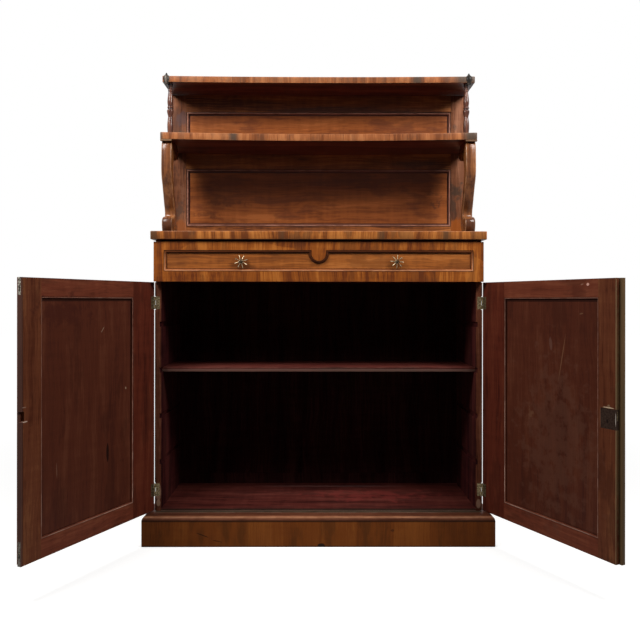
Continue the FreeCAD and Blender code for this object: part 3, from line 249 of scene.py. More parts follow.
def blemishes(spots, turn=None):
    """Marks laid over a wood by place, each spot a row of 11 numbers: its centre and its reach
    along each axis in mm, its tilt, its tint in thousandths and its share."""
    def lay(tree, colour):
        place = turn(tree) if turn else own_place(tree)
        for row in spots:
            centre, reach = [tuple(number / 1000 for number in row[at:at + 3]) for at in (0, 3)]
            edge = BROAD_EDGE if min(reach) > BROAD_OVER else FINE_EDGE
            here = blot(tree, place, centre, reach, row[6], **edge)
            colour = blend(tree, times(tree, here, row[10]), colour, row[7:10])
        return colour
    return lay


def in_scene(name, data):
    """An object of the scene with the given data."""
    made = bpy.data.objects.new(name, data)
    bpy.context.scene.collection.objects.link(made)
    return made


def skin(name, points, attributes, ends="flat"):
    """A mesh over a grid of sections: quads join each point to its neighbours along and around.

    Each section closes on itself.  The row of sections ends in two flat faces, or with ends
    "ring" it closes on itself as well.
    """
    rows, columns = points.shape[:2]
    index = np.arange(rows * columns).reshape(rows, columns)
    here, there = (index, np.roll(index, -1, 0)) if ends == "ring" else (index[:-1], index[1:])
    quads = np.stack([here, np.roll(here, -1, 1), np.roll(there, -1, 1), there], -1)
    faces = quads.reshape(-1, 4).tolist()
    if ends == "flat":
        faces += [index[0].tolist(), index[-1].tolist()]
    mesh = bpy.data.meshes.new(name)
    mesh.from_pydata(points.reshape(-1, 3).tolist(), [], faces)
    for title, numbers in attributes.items():
        vector = numbers.ndim == 3
        kept = mesh.attributes.new(title, "FLOAT_VECTOR" if vector else "FLOAT", "POINT")
        kept.data.foreach_set("vector" if vector else "value",
                              np.ascontiguousarray(numbers, np.float32).ravel())
    shell = bmesh.new()
    shell.from_mesh(mesh)
    bmesh.ops.remove_doubles(shell, verts=shell.verts, dist=1e-6)
    bmesh.ops.recalc_face_normals(shell, faces=shell.faces)
    shell.to_mesh(mesh)
    shell.free()
    mesh.shade_smooth()
    mesh.set_sharp_from_angle(angle=math.radians(38))
    return in_scene(name, mesh)


def fit(piece, material, *nodes, body="carcass", slot="polished_wood"):
    """Finish a piece, hang it on its body, and let it stand for its nodes."""
    piece.data.materials.append(material)
    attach(piece, body)
    if nodes:
        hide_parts(*nodes)


def carried(name, outer, inner, section, place, closed=True, grain_up=False, painted_shade=None, rub_and_highlight=None):
    """A section carried along a path, from an outer line to an inner one.

    A point of the section is its share of the way from the outer line to the inner one, its rise,
    its darkening (grime and painted shade) and its lightening (worn polish and painted highlight).
    Where both lines turn, the section turns with them, so a corner is a mitre.  soot gives further
    painted shade from the flat place and the share, and rub a factor for the lightening from the
    flat place.
    """
    full = np.broadcast_to(section, (len(outer), *section.shape))
    share, rise, stain_and_shade, wear_and_highlight = np.moveaxis(full, -1, 0)
    flat = outer[:, None] * (1 - share[..., None]) + inner[:, None] * share[..., None]
    x, y = flat[..., 0], flat[..., 1]
    steps = np.linalg.norm(np.diff(outer, axis=0), axis=1)
    travel = np.broadcast_to(np.concatenate([[0], np.cumsum(steps)])[:, None], rise.shape)
    width = np.linalg.norm(inner - outer, axis=1)[:, None] * share
    order = (rise, travel, width) if grain_up else (travel, width, rise)
    if painted_shade:
        stain_and_shade = np.maximum(stain_and_shade, painted_shade(x, y, share))
    if rub_and_highlight:
        wear_and_highlight = wear_and_highlight * rub_and_highlight(x, y)
    attributes = {"grain": np.stack(order, -1), "wear_and_highlight": wear_and_highlight, "stain_and_shade": stain_and_shade}
    return skin(name, place(x, y, rise), attributes, "ring" if closed else "flat")


def as_built(x, y, rise):
    """A section of a level moulding stands upright."""
    return np.stack([x, y, rise], -1)


def mirrored(half):
    """A line from the back of the left side to the middle, and on to the right side's back."""
    return np.vstack([half, half[::-1] * [-1, 1]])


skirt_turn = np.radians([0, 30, 60, 90])
skirt_arc = SKIRT_CORNER * np.stack([1 - np.cos(skirt_turn), 1 - np.sin(skirt_turn)], -1)
left_back, left_front = np.array([[-SKIRT_SIDE, SKIRT_BACK], [-SKIRT_SIDE, SKIRT_FRONT]])
skirt_outer = mirrored(np.vstack([left_back, left_front + skirt_arc]))
skirt_inner = mirrored(np.vstack([left_back + [SKIRT_BOARD, 0],
                                  np.tile(left_front + SKIRT_BOARD, (len(skirt_arc), 1))]))
# Section rows: share, rise, darkening, lightening.  The bottom rows darken the lower arris; the top
# rows are a painted shadow under the cap's nose.
skirt_section = np.array([
    [1, 0, 0, 0], [0.1, 0, 0, 0], [0.03, 0.0006, 0.5, 0], [0, 0.002, 0.3, 0], [0, 0.006, 0, 0],
    [0, SKIRT_TOP - 0.0055, 0, 0], [0, SKIRT_TOP - 0.0032, 1, 0], [0, SKIRT_TOP - 0.0015, 1, 0],
    [0.04, SKIRT_TOP, 1, 0], [1, SKIRT_TOP, 0, 0]])
skirt = carried("plinth_skirt", skirt_outer, skirt_inner, skirt_section, as_built, closed=False,
                grain_up=True)
plinth_tones = ((135, 36, 7), (196, 52, 9), (262, 79, 15))
plinth_marks = blemishes([
    (8, -179, 5, 13, 30, 8, 0, 12, 6, 4, 0.95), (-345, -179, 36, 22, 30, 1.8, 0.35, 20, 8, 4, 0.8),
    (-300, -179, 18, 16, 30, 1.6, 0.2, 20, 8, 4, 0.7),
    (220, -179, 50, 6, 30, 4, 0, 30, 10, 5, 0.6)])
fit(skirt, timber("plinth_veneer", plinth_tones, along_grain, 3.1, bands=22.0, streaks=240.0,
                  spread=0.19, figure=0.6, crisp=0.16, leaf=0.11, shade=(78, 26, 7),
                  dirt_and_shade=(10, 4, 2), specular=0.06, marks=plinth_marks),
    "plinth_front", "plinth_side_left", "plinth_side_right")

# Inner parts of the plinth: back board, corner blocks and a bearer of sawn softwood, glued and
# nailed behind the skirt, never polished.

rough_tones = ((75, 36, 20), (150, 78, 42), (235, 135, 75))


def dress(name, material):
    """Give a node its finish."""
    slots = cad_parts[name].data.materials
    slots.clear()
    slots.append(material)


for number, name in enumerate(("plinth_back", "plinth_bearers")):
    dress(name, timber(f"{name}_pine", rough_tones, long_grain, 5.0 + number, gloss=0.75,
                       specular=0.1, figure=0.5))

# Plinth cap.  A thin moulding with a rounded nose runs round the front and sides on top of the
# skirt, mitred at the corners; a flat ledge behind its front length carries the doors' edge.

CAP_INSET = 0.032
CAP_REACH = 0.026
CAP_HEIGHT = 0.015
nose = np.radians(np.linspace(0, 90, 10))
# The nose's middle is lightened as a painted highlight and its foot darkened as painted shade; the
# upper nose and the top behind it are darkened too.
cap_curve = np.stack([
    (CAP_REACH - (CAP_REACH - 0.001) * np.cos(nose)) / CAP_INSET,
    SKIRT_TOP + CAP_HEIGHT * np.sin(nose), 0.55 * (nose > 0.9) + 0.9 * (nose < 0.01),
    1.0 * (nose > 0.4) * (nose < 0.8)], -1)
cap_section = np.vstack([cap_curve, [[1, SKIRT_TOP + CAP_HEIGHT, 0.5, 0], [1, SKIRT_TOP, 0, 0]]])
cap_outer = mirrored(np.array([left_back, left_front]))
cap_inner = mirrored(np.array([left_back + [CAP_INSET, 0], left_front + CAP_INSET]))
cap = carried("plinth_cap", cap_outer, cap_inner, cap_section, as_built, closed=False)
cap_tones = ((66, 19, 9), (118, 38, 18), (175, 62, 33))
fit(cap, timber("plinth_cap_wood", cap_tones, along_grain, 8.2, figure=0.3, shade=(50, 16, 10),
                specular=0.04, wear_and_highlight=(460, 210, 110), scuff=(0.34, 0.2)), "plinth_moulding")


def board(name, low, high, thin, corner=0.0015, arris=0.0012, steps=1, grain=None, stain_and_shade=None,
          sag=0.0):
    """A board with softened arrises: a rounded rectangle whose rings step in at both faces.

    A point is the centre of the nearest corner plus (corner radius - inset) times the unit
    vector at its angle; the inset follows a quarter circle of the arris's radius at each face.
    thin is the axis through the thickness; steps divides the long sides.  A board that sags is
    lowered by sag times (two thirds - the square of its share of the half length).
    """
    low, high = np.asarray(low, float), np.asarray(high, float)
    flat = [axis for axis in range(3) if axis != thin]
    turns = np.radians(np.linspace(0, 90, 5))
    centres, units = [], []
    spans = np.linspace(0, 1, steps + 1)[1:-1]
    near, far = low[flat] + corner, high[flat] - corner
    for quarter, ends in enumerate(((far, far), (near, far), (near, near), (far, near))):
        centre = [ends[0][0], ends[1][1]]
        angles = turns + quarter * math.pi / 2
        centres.append(np.tile(centre, (len(angles), 1)))
        units.append(np.stack([np.cos(angles), np.sin(angles)], -1))
        if quarter in (0, 2) and steps > 1:
            start, end = (far[0], near[0]) if quarter == 0 else (near[0], far[0])
            along = start + (end - start) * spans
            centres.append(np.stack([along, np.full_like(along, centre[1])], -1))
            units.append(np.tile([0, 1 - quarter], (len(along), 1)))
    centres, units = np.vstack(centres), np.vstack(units)
    rounds = np.radians([0, 30, 60, 90])
    inset, rise = arris * (1 - np.sin(rounds)), arris * (1 - np.cos(rounds))
    insets = np.concatenate([inset, inset[::-1]])
    levels = np.concatenate([low[thin] + rise, high[thin] - rise[::-1]])
    ring = centres[None] + (corner - insets)[:, None, None] * units[None]
    points = np.zeros((len(levels), len(centres), 3))
    points[..., flat] = ring
    points[..., thin] = levels[:, None]
    # Every arris is lightened: worn polish, and in part a painted highlight.
    arris_wear_and_highlight = np.array([0, 1, 1, 0, 0, 1, 1, 0.0])
    attributes = {"grain": points if grain is None else grain(points),
                  "wear_and_highlight": np.broadcast_to(arris_wear_and_highlight[:, None], points.shape[:2])}
    if sag:
        points = points.copy()
        points[..., 2] -= sag * (2 / 3 - (2 * points[..., 0] / (high[0] - low[0])) ** 2)
    if stain_and_shade is not None:
        attributes["stain_and_shade"] = stain_and_shade(points)
    return skin(name, points, attributes)


LEDGE_BACK = -0.129
ledge_low = (CAP_INSET - SKIRT_SIDE, SKIRT_FRONT + CAP_INSET, SKIRT_TOP)
ledge_high = (SKIRT_SIDE - CAP_INSET, LEDGE_BACK, SKIRT_TOP + CAP_HEIGHT)
# The ledge's pale arris colour turns its arrises into near-white lines: worn polish and a painted
# highlight.
ledge_wood = timber("plinth_ledge_wood", ((22, 14, 9), (45, 30, 19), (75, 52, 34)), along_grain,
                    9.4, figure=0.4, specular=0.06, gloss=0.5, wear_and_highlight=(850, 660, 520))
fit(board("plinth_ledge", ledge_low, ledge_high, 2, 0.0016, 0.0014), ledge_wood, "plinth_moulding")

# Carcass.  Two veneered sides with grooves for a loose shelf inside, floor, dust board and top
# rail between them.  Outside they are polished; inside they are stained a dull dark maroon.


def outside(axis, limit, sign=1):
    """1 on the faces that lie beyond a limit along one axis, on either hand with sign 0."""
    def mask(tree):
        number = part(tree, own_place(tree), axis)
        if sign == 0:
            number = maths(tree, "ABSOLUTE", number)
        elif sign < 0:
            number = maths(tree, "MULTIPLY", number, -1.0)
        return maths(tree, "GREATER_THAN", number, limit)
    return mask


polish_tones = ((85, 24, 8), (225, 70, 19), (400, 145, 42))
inside_tones = ((12, 3, 3.4), (34, 7, 7.2), (62, 14, 12))
back_tones = ((14, 3.6, 4), (30, 7.4, 7.6), (52, 15, 13))
floor_tones = ((28, 6, 5), (62, 13, 10), (95, 24, 18))
lipping_tones = ((50, 15, 9), (120, 38, 20), (200, 80, 45))


def either(first, second):
    """1 where either of two masks is 1."""
    return lambda tree: sums(tree, "MAXIMUM", first(tree), second(tree))


def strip(name, sign, across, deep, up, *shape, **more):
    """A board given by its three spans; the one across is mirrored on the left hand."""
    low, high = zip(sorted(sign * side for side in across), deep, up)
    return board(name, low, high, *shape, **more)


HANDS = (("left", -1), ("right", 1))
SIDE_FRONT = -0.1285
side_wood = {}
side_marks = blemishes([
    (-487, -128.5, 150, 10, 3, 30, 0, 340, 200, 130, 0.7),
    (-487, -128.5, 118, 7, 3, 12, 0, 420, 270, 180, 0.7),
    (487, -128.5, 115, 8, 3, 16, 0, 360, 220, 150, 0.6)])
side_edges = either(outside(0, 0.4945, 0), outside(1, -SIDE_FRONT, -1))
for number, (hand, sign) in enumerate(HANDS):
    name = f"carcass_side_{hand}"
    side_wood[hand] = timber(f"{name}_wood", inside_tones, upright_grain, 11.0 + number,
                             gloss=0.6, specular=0.02, figure=0.3, marks=side_marks,
                             other=(side_edges, lipping_tones, 0.4))
    dress(name, side_wood[hand])
floor_marks = blemishes([
    # Painted shade over the front riser of the floor board.
    (0, -129, 99, 900, 2, 3.5, 0, 22, 14, 10, 0.8),
    # A painted highlight line along the riser's foot.
    (0, -129, 95.2, 900, 4, 1.4, 0, 220, 160, 120, 0.5),
    (50, 130, 100, 300, 4, 10, 0, 200, 120, 110, 0.5),
    (160, 20, 100, 220, 70, 30, 0, 150, 24, 20, 0.5)])
dress("cupboard_floor", timber("cupboard_floor_wood", floor_tones, long_grain, 14.0,
                               gloss=0.5, specular=0.05, figure=0.5, shade=(30, 8, 7),
                               marks=floor_marks))
for number, name in enumerate(("dust_board", "drawer_top_rail")):
    dress(name, timber(f"{name}_wood", inside_tones, long_grain, 15.0 + number, gloss=0.55,
                       specular=0.03))

# Lippings: thin rounded strips of the sides' own wood, glued down their outer front corners
# between the hinges, where the doors close on them.

LIPPING_ACROSS = (0.4949, 0.4983)
LIPPING_DEEP = (-0.1288, -0.1245)
for hand, sign in HANDS:
    for number, span in enumerate(((0.0955, 0.1375), (0.1785, 0.7055), (0.7465, 0.7886))):
        fit(strip(f"side_lipping_{hand}_{number + 1}", sign, LIPPING_ACROSS, LIPPING_DEEP, span, 2,
                  0.0014, 0.0006, grain=lambda points: points[..., [2, 0, 1]]), side_wood[hand])

# Groove stops: slips of wood glued in where the shelf's grooves run out at the back, one to each
# groove on either side.

STOP_ACROSS = (0.4788, 0.4839)
STOP_DEEP = (0.165, 0.1785)
STOP_HALF = 0.0073
LOWEST_GROOVE = 0.2427
GROOVE_STEP = 0.1394
for row in range(4):
    up = LOWEST_GROOVE + GROOVE_STEP * row
    for hand, sign in HANDS:
        fit(strip(f"groove_stop_{hand}_{row + 1}", sign, STOP_ACROSS, STOP_DEEP,
                  (up - STOP_HALF, up + STOP_HALF), 0, 0.0005, 0.0004), side_wood[hand],
            slot="carcass_wood")

# Back of the cupboard: a frame with a middle muntin and two thin panels, stained with the inside
# and left bare and dusty behind.

bare_tones = ((60, 30, 18), (130, 70, 40), (220, 130, 78))
for number, (node, wood, back_face) in enumerate((("back_frame", "back_frame_wood", 0.1785),
                                                  ("back_panels", "back_panel_wood", 0.1755))):
    dress(node, timber(wood, back_tones, upright_grain, 18.0 + number, gloss=0.7, specular=0.01,
                       other=(outside(1, back_face), bare_tones, 0.8)))

# Top slab.  A one-inch board over the drawer, its edges banded with veneer whose grain runs
# upright, so the edge shows short stripes; the top has long grain.


def level(tree):
    """1 on the faces that lie level: tops and undersides."""
    up = part(tree, put(tree, "NewGeometry").outputs["True Normal"], 2)
    return maths(tree, "GREATER_THAN", maths(tree, "ABSOLUTE", up), 0.8)


def banded(seed, edge_front, edge_side):
    """Long grain on top and underneath, upright grain on the front edge and the ends."""
    def grain(points):
        x, y, z = np.moveaxis(points, -1, 0)
        on_edge = (y < edge_front) | (np.abs(x) > edge_side)
        return np.where(on_edge[..., None], np.stack([z, x + y, 0 * y], -1), points) + seed
    return grain


def patches(spans, depth):
    """A stain of 1 in the middle of each span of X and 0 outside it, on the front edge."""
    def stain_and_shade(points):
        total = np.zeros(points.shape[:2])
        for start, end in spans:
            away = np.abs(points[..., 0] - (start + end) / 2) / ((end - start) / 2)
            total = np.maximum(total, np.clip(1.6 - 1.6 * away, 0, 1))
        return total * (points[..., 1] < depth)
    return stain_and_shade


def edge_or_top(tree):
    """The piece's own grain on its edges, long grain on its top and underside."""
    return choose(tree, level(tree), along_grain(tree), long_grain(tree))


edge_tones = ((115, 30, 7), (262, 80, 16), (410, 145, 32))
# Tops and undersides take these dark tones: on the tops an aged finish, on the undersides painted
# shade.
top_and_underside_shade_tones = ((70, 18, 12), (135, 36, 22), (200, 60, 34))
top_and_underside_shade_finish = (level, top_and_underside_shade_tones, 0.36)
slab_low, slab_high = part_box("top_slab")
slab = board("slab", slab_low, slab_high, 2, 0.004, 0.002, 120,
             banded(21.0, slab_low.y + 0.0012, slab_high.x - 0.0012),
             patches([(-0.51, -0.485), (0.365, 0.4), (-0.12, -0.1), (0.18, 0.2)],
                     slab_low.y + 0.003))
fit(slab, timber("slab_veneer", edge_tones, edge_or_top, 21.0, bands=52.0, streaks=260.0,
                 figure=0.45, crisp=0.04, leaf=0.055, shade=(85, 38, 16), other=top_and_underside_shade_finish),
    "top_slab")

# Loose shelf: one plain board that slides in a pair of grooves, dark and unpolished, with a worn
# front arris.

shelf_low, shelf_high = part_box("adjustable_shelf")
shelf_marks = blemishes([(0, shelf_low.y * 1000, shelf_low.z * 1000 + 4, 900, 5, 6, 0,
                          190, 115, 92, 0.45)])
fit(board("loose_shelf", shelf_low, shelf_high, 2, 0.0015, 0.0012),
    timber("loose_shelf_wood", floor_tones, along_grain, 24.0, gloss=0.55, specular=0.04,
           wear_and_highlight=(160, 75, 55), marks=shelf_marks),
    "adjustable_shelf", body="shelf", slot="door_wood")

# Drawer front.  One board with a sunk field: the borders and the round tongue are banded with
# upright grain, the field has long grain.

FACE = -0.1475
drawer_tones = ((110, 24, 4), (230, 60, 8), (370, 118, 20))
field_tones = ((175, 49, 10), (285, 86, 17), (375, 126, 30))
drawer_borders = outside(1, -FACE, -1)


def drawer_grain(tree):
    """Long grain in the field, upright grain on the borders, which stand proud of it."""
    return choose(tree, drawer_borders(tree), long_grain(tree), upright_grain(tree))


dress("drawer_front", timber("drawer_veneer", field_tones, drawer_grain, 27.3, bands=44.0,
                             streaks=240.0, crisp=0.05, leaf=0.07, shade=(85, 26, 8),
                             other=(drawer_borders, drawer_tones, 0.32)))

# Moulding round the drawer's field: an ovolo with a fillet, mitred at the corners, and turned in
# a half round about the tongue.


def ovolo(width, height):
    """Quirk, fillet, quarter round and foot: the round's point is (sine across, cosine up).

    The quirk and the foot are darkened, as grime and as painted shade.
    """
    turn = np.radians(np.linspace(0, 90, 7))
    fillet, foot, low = 0.28, 0.8, 0.1
    curve = np.stack([fillet + (foot - fillet) * np.sin(turn), low + (1 - low) * np.cos(turn),
                      0.25 * (turn > 1.4), 0.7 * (turn < 0.3)], -1)
    points = np.vstack([[0, 0, 0.9, 0], [0, 0.3, 0.9, 0], [0.13, 0.3, 0.9, 0], [0.15, 0.94, 0, 0.7],
                        [0.18, 1, 0, 0.7], curve, [foot, low, 1, 0], [1, 0.08, 1, 0], [1, 0, 1, 0]])
    return points * [1, height, 1, 1]


DRAWER_FIELD = np.array([-0.467, 0.467, 0.821, 0.885])
TONGUE = 0.022
TONGUE_DROP = 0.01
DRAWER_TRIM = 0.009


def field_line(inset):
    """The edge of the sunk field with its half round, moved inwards by an inset."""
    left, right, low, high = DRAWER_FIELD + inset * np.array([1, -1, 1, -1])
    swing = np.radians(np.linspace(0, 180, 25))
    reach = TONGUE + inset
    dip = [0, DRAWER_FIELD[3] - TONGUE_DROP] - reach * np.stack([np.cos(swing), np.sin(swing)], -1)
    return np.vstack([[left, low], [left, high], [-reach, high], dip, [reach, high], [right, high],
                      [right, low]])


trim_tones = ((130, 36, 11), (225, 66, 20), (320, 108, 36))
trim_wood = timber("trim_wood", trim_tones, along_grain, 31.0, figure=0.15, specular=0.05,
                   shade=(22, 6, 4), wear_and_highlight=(720, 380, 220), scuff=(0.4, 0.3))
SUNK_FACE = -0.144
BOTTOM_RUN_UNDER = 0.831
TOP_RUN_OVER = 0.842
RUN_END = 0.4595
TONGUE_HALF = 0.034


def upright_at(seat, facing=-1):
    """A section lies on an upright face at the depth of its seat and rises to the front or back."""
    return lambda x, z, rise: np.stack([x, seat + facing * rise, z], -1)


def drawer_painted_shade(x, z, share):
    """Painted shade over all runs but the lit bottom one, deepest in the outer quirk, and in the
    inner hollow of the top run and about the tongue."""
    off_middle = np.abs(x)
    inner = share > np.where(off_middle < TONGUE_HALF, 0.4, 0.52)
    hollow = (z > TOP_RUN_OVER) & (off_middle < RUN_END) & inner
    return np.maximum((z > BOTTOM_RUN_UNDER) * np.where(share < 0.29, 0.95, 0.4), 0.9 * hollow)


# Only the bottom run's arrises are lightened, as worn polish and as a painted highlight where it
# faces up.
drawer_trim = carried("drawer_trim", field_line(0), field_line(DRAWER_TRIM),
                      ovolo(DRAWER_TRIM, 0.0062), upright_at(SUNK_FACE), painted_shade=drawer_painted_shade,
                      rub_and_highlight=lambda x, z: 1.0 * (z < BOTTOM_RUN_UNDER))
fit(drawer_trim, trim_wood, "drawer_moulding", body="drawer")

# Drawer box: sides, back and bottom of thin softwood, the bottom held in grooves and nailed at
# the back; pale, dry and never polished.

box_tones = ((130, 70, 36), (230, 130, 68), (330, 205, 115))
for number, (name, where) in enumerate((
        ("drawer_sides", by_place((0, 0, math.pi / 2))), ("drawer_back", long_grain),
        ("drawer_bottom", long_grain))):
    dress(name, timber(f"{name}_wood", box_tones, where, 34.0 + number, gloss=0.7, specular=0.1,
                       figure=0.25, shade=(60, 30, 18)))

# Star knobs: cast brass, eight slim ridged rays round a low boss, on a turned stem let into the
# field.

KNOB_REACH = 0.0212
KNOB_VALLEY = 0.0052
KNOB_BACK = -0.153
KNOB_SPREAD = 0.235
KNOB_UP = 0.8505


def dull_metal(name, bright, dark, roughness, grime, marks=None):
    """Old metal: two tones by cloudy noise, dark grime in its hollows, soft scratches."""
    material, tree, surface = new_material(name)
    place = own_place(tree)
    cloud = clouds(tree, place, (240.0, 240.0, 240.0), 4.0)
    fine = clouds(tree, place, (900.0, 2500.0, 900.0), 2.0)
    colour = blend(tree, between(tree, cloud, 0.4, 0.62), dark, bright)
    colour = blend(tree, times(tree, between(tree, fine, 0.55, 0.7), grime), colour,
                   tuple(0.35 * number for number in dark))
    colour = blend(tree, held(tree, "stain_and_shade"), colour, tuple(0.25 * number for number in dark))
    if marks:
        colour = marks(tree, colour)
    tree.links.new(colour, surface.inputs["Base Color"])
    rough = ramp(tree, cloud, roughness + 0.16, roughness - 0.08)
    tree.links.new(rough, surface.inputs["Roughness"])
    bump = put(tree, "Bump", {"Height": fine, "Strength": 0.15, "Distance": 0.0002})
    tree.links.new(bump.outputs[0], surface.inputs["Normal"])
    surface.inputs["Metallic"].default_value = 1.0
    return material


brass = dull_metal("dull_brass", (500, 400, 260), (200, 140, 80), 0.36, 0.5)


def star(name, across, lean):
    """Rays as a star-shaped dome: the rim's radius swings between reach and valley as a cosine
    to a power, and the height falls from the boss to the rim, higher along each ray's ridge."""
    turn = np.linspace(0, 2 * math.pi, 192, endpoint=False)
    ray = (0.5 + 0.5 * np.cos(8 * (turn - lean))) ** 2.3
    rim = KNOB_VALLEY + (KNOB_REACH - KNOB_VALLEY) * ray
    share = np.array([1.0, 1.0, 0.985, 0.9, 0.72, 0.55, 0.38, 0.24, 0.16, 0.1, 0.04])
    rise = np.array([0, 0.8, 1.4, 2.2, 3.1, 3.9, 4.6, 4.4, 5.6, 6.6, 7.0]) / 1000
    reach = rim * share[:, None]
    inner = reach < KNOB_VALLEY * 0.75
    lift = rise[:, None] * (0.45 + 0.55 * np.where(inner, 1.0, ray))
    points = np.stack([across + reach * np.sin(turn), KNOB_BACK - lift,
                       KNOB_UP + reach * np.cos(turn)], -1)
    grime = np.maximum(np.clip(1.15 - reach / (KNOB_VALLEY * 1.5), 0, 1), (1 - ray) ** 3)
    return skin(name, points, {"stain_and_shade": grime * 0.8})


def lathe(name, profile, centre, axis=2, rounds=48):
    """A profile of (radius, distance along the axis) turned about an axis through the centre.

    Painted shade lies where the radius is under the mean radius within 7 mm along the axis.
    """
    turn = np.linspace(0, 2 * math.pi, rounds, endpoint=False)
    first, second = [other for other in range(3) if other != axis]
    points = np.zeros((len(profile), rounds, 3))
    points[..., first] = centre[first] + profile[:, :1] * np.cos(turn)
    points[..., second] = centre[second] + profile[:, :1] * np.sin(turn)
    points[..., axis] = centre[axis] + profile[:, 1:]
    grain = np.stack([points[..., axis], points[..., first], points[..., second]], -1)
    spaced = np.abs(profile[:, None, 1] - profile[None, :, 1]) < 0.007
    around = (spaced * profile[None, :, 0]).sum(1) / spaced.sum(1)
    hollow = np.clip((around - profile[:, 0] - 0.0003) / 0.0008, 0, 1)
    return skin(name, points, {"grain": grain, "stain_and_shade": np.repeat(hollow[:, None], rounds, 1)})


stem_stations = np.array([(6.2, 0), (6.2, -1.2), (4.2, -2.4), (3.4, -5), (4.6, -8.8), (4.6, -9.2)])
for (hand, sign), lean in zip(HANDS, (-17, 4)):
    fit(star(f"star_knob_{hand}", sign * KNOB_SPREAD + 0.001, math.radians(lean)), brass,
        f"drawer_knob_{hand}", body="drawer", slot="brass")
    fit(lathe(f"knob_stem_{hand}", stem_stations / 1000, (sign * KNOB_SPREAD, SUNK_FACE, KNOB_UP),
              axis=1, rounds=32), brass, body="drawer", slot="brass")

# Doors.  Framed panels: two stiles, two rails, and a panel in a groove.  Outside they are
# polished like the rest; inside the old varnish is dull, dark and scratched.

PIN_ACROSS = 0.4985
PIN_DEEP = -0.13
OPEN = {"left": math.radians(-115), "right": math.radians(116)}


def pin_of(side):
    """Where a door's hinge pins stand, seen from above."""
    return np.array([-PIN_ACROSS if side == "left" else PIN_ACROSS, PIN_DEEP])


def hang(points, side):
    """Turn points of a closed door about its pin to where it stands open."""
    cosine, sine = math.cos(OPEN[side]), math.sin(OPEN[side])
    away = points[..., :2] - pin_of(side)
    made = points.copy()
    made[..., :2] = pin_of(side) + away @ [[cosine, sine], [-sine, cosine]]
    return made


def shut_place(side):
    """Object coordinates brought back to the closed door."""
    angle = -OPEN[side]
    cosine, sine = math.cos(angle), math.sin(angle)
    across, deep = pin_of(side)
    move = (across - across * cosine + deep * sine, deep - across * sine - deep * cosine, 0)
    return lambda tree: turned(tree, own_place(tree), (0, 0, angle), move)


INNER_FACE = -0.137
OUTER_FACE = -0.145


def door_front(closed):
    """1 on the outer face of the door."""
    return lambda tree: maths(tree, "LESS_THAN", part(tree, closed(tree), 1), OUTER_FACE + 0.0005)


stile_tones = ((75, 19, 9), (130, 38, 17), (190, 67, 28))
rail_tones = ((85, 20, 11), (150, 37, 19), (200, 58, 29))
hinge_tones = ((50, 10, 6), (95, 19, 10), (130, 31, 15))
panel_tones = ((58, 15, 9), (82, 21, 11), (112, 33, 17))
# A painted shadow on the panel under the bead's top run.
bead_shade = (0, -137, 734.5, 1200, 20, 4.8, 0, 12, 4, 3, 0.75)
door_spots = {
    "left": [
        (-301, -137, 309, 5.6, 20, 30, 0, 10, 4, 3, 0.9),
        (-281, -137, 652, 11, 20, 1.4, 0.9, 340, 220, 150, 0.7),
        (-130, -137, 700, 100, 20, 50, 0, 50, 12, 8, 0.6),
        (-376, -137, 481, 3, 20, 4, 0, 400, 270, 180, 0.7),
        (-115, -137, 300, 1.4, 20, 22, 0.03, 260, 140, 90, 0.5),
        # A lighter strip on the door's edge: painted light over the shaded rebate.
        (3, -142, 440, 5.8, 50, 600, 0, 88, 44, 36, 0.75),
        (-2.2, -131, 440, 1.2, 10, 600, 0, 20, 8, 6, 0.7),
        (-6, -132, 475.5, 6.5, 30, 1.5, 0, 400, 270, 210, 0.5),
        (-9, -132, 440.5, 8.5, 30, 1.9, 0.07, 620, 440, 350, 0.8)],
    "right": [
        (91.4, -131, 774.5, 4.5, 20, 4, 0, 750, 420, 330, 0.95),
        (110, -131, 775, 5, 20, 1.8, 0.3, 360, 200, 140, 0.6),
        (184, -137, 581, 2, 20, 72, -0.2, 250, 120, 60, 0.45),
        (224, -137, 617, 6, 20, 20, 0.1, 220, 120, 90, 0.3),
        (210, -137, 360, 150, 20, 240, 0, 125, 50, 31, 0.45),
        (300, -137, 420, 12, 20, 18, 0, 220, 110, 60, 0.35),
        (118, -137, 700, 7, 20, 2, 0.2, 300, 180, 100, 0.35),
        # A lighter strip on the door's edge: painted light over the shaded rebate.
        (-1, -142, 440, 7, 50, 600, 0, 125, 85, 40, 0.8),
        # A thin light line on the lap's arris: worn polish and a painted highlight.
        (5, -131, 440, 1.6, 2.2, 600, 0, 420, 300, 160, 0.4),
        (27.5, -131, 472.2, 18.5, 20, 1.5, 0, 720, 560, 380, 0.9),
        (26.5, -131, 476, 4.5, 20, 4, 0, 300, 200, 120, 0.6),
        (52.5, -131, 445, 1, 20, 30, 0, 260, 150, 100, 0.5)]}
door_parts = (("hinge_stile", UPRIGHT, hinge_tones), ("meeting_stile", UPRIGHT, stile_tones),
              ("top_rail", ACROSS, rail_tones), ("bottom_rail", ACROSS, rail_tones),
              ("panel", UPRIGHT, panel_tones))
for number, side in enumerate(("left", "right")):
    closed = shut_place(side)
    for count, (name, turn, tones) in enumerate(door_parts):
        spots = door_spots[side] + [bead_shade] * (name == "panel")
        dress(f"{side}_door_{name}", timber(
            f"{side}_door_{name}_wood", tones, lambda tree: turned(tree, closed(tree), turn),
            40.0 + 7 * number + count, bands=30.0, streaks=210.0, figure=0.4, shade=(38, 10, 6),
            gloss=0.5, specular=0.05, spread=0.13, other=(door_front(closed), polish_tones, 0.32),
            marks=blemishes(spots, closed)))

# Door trim: a small bead glued round each panel inside, and a bolder ovolo outside, of the
# frame's wood and mitred at the corners.

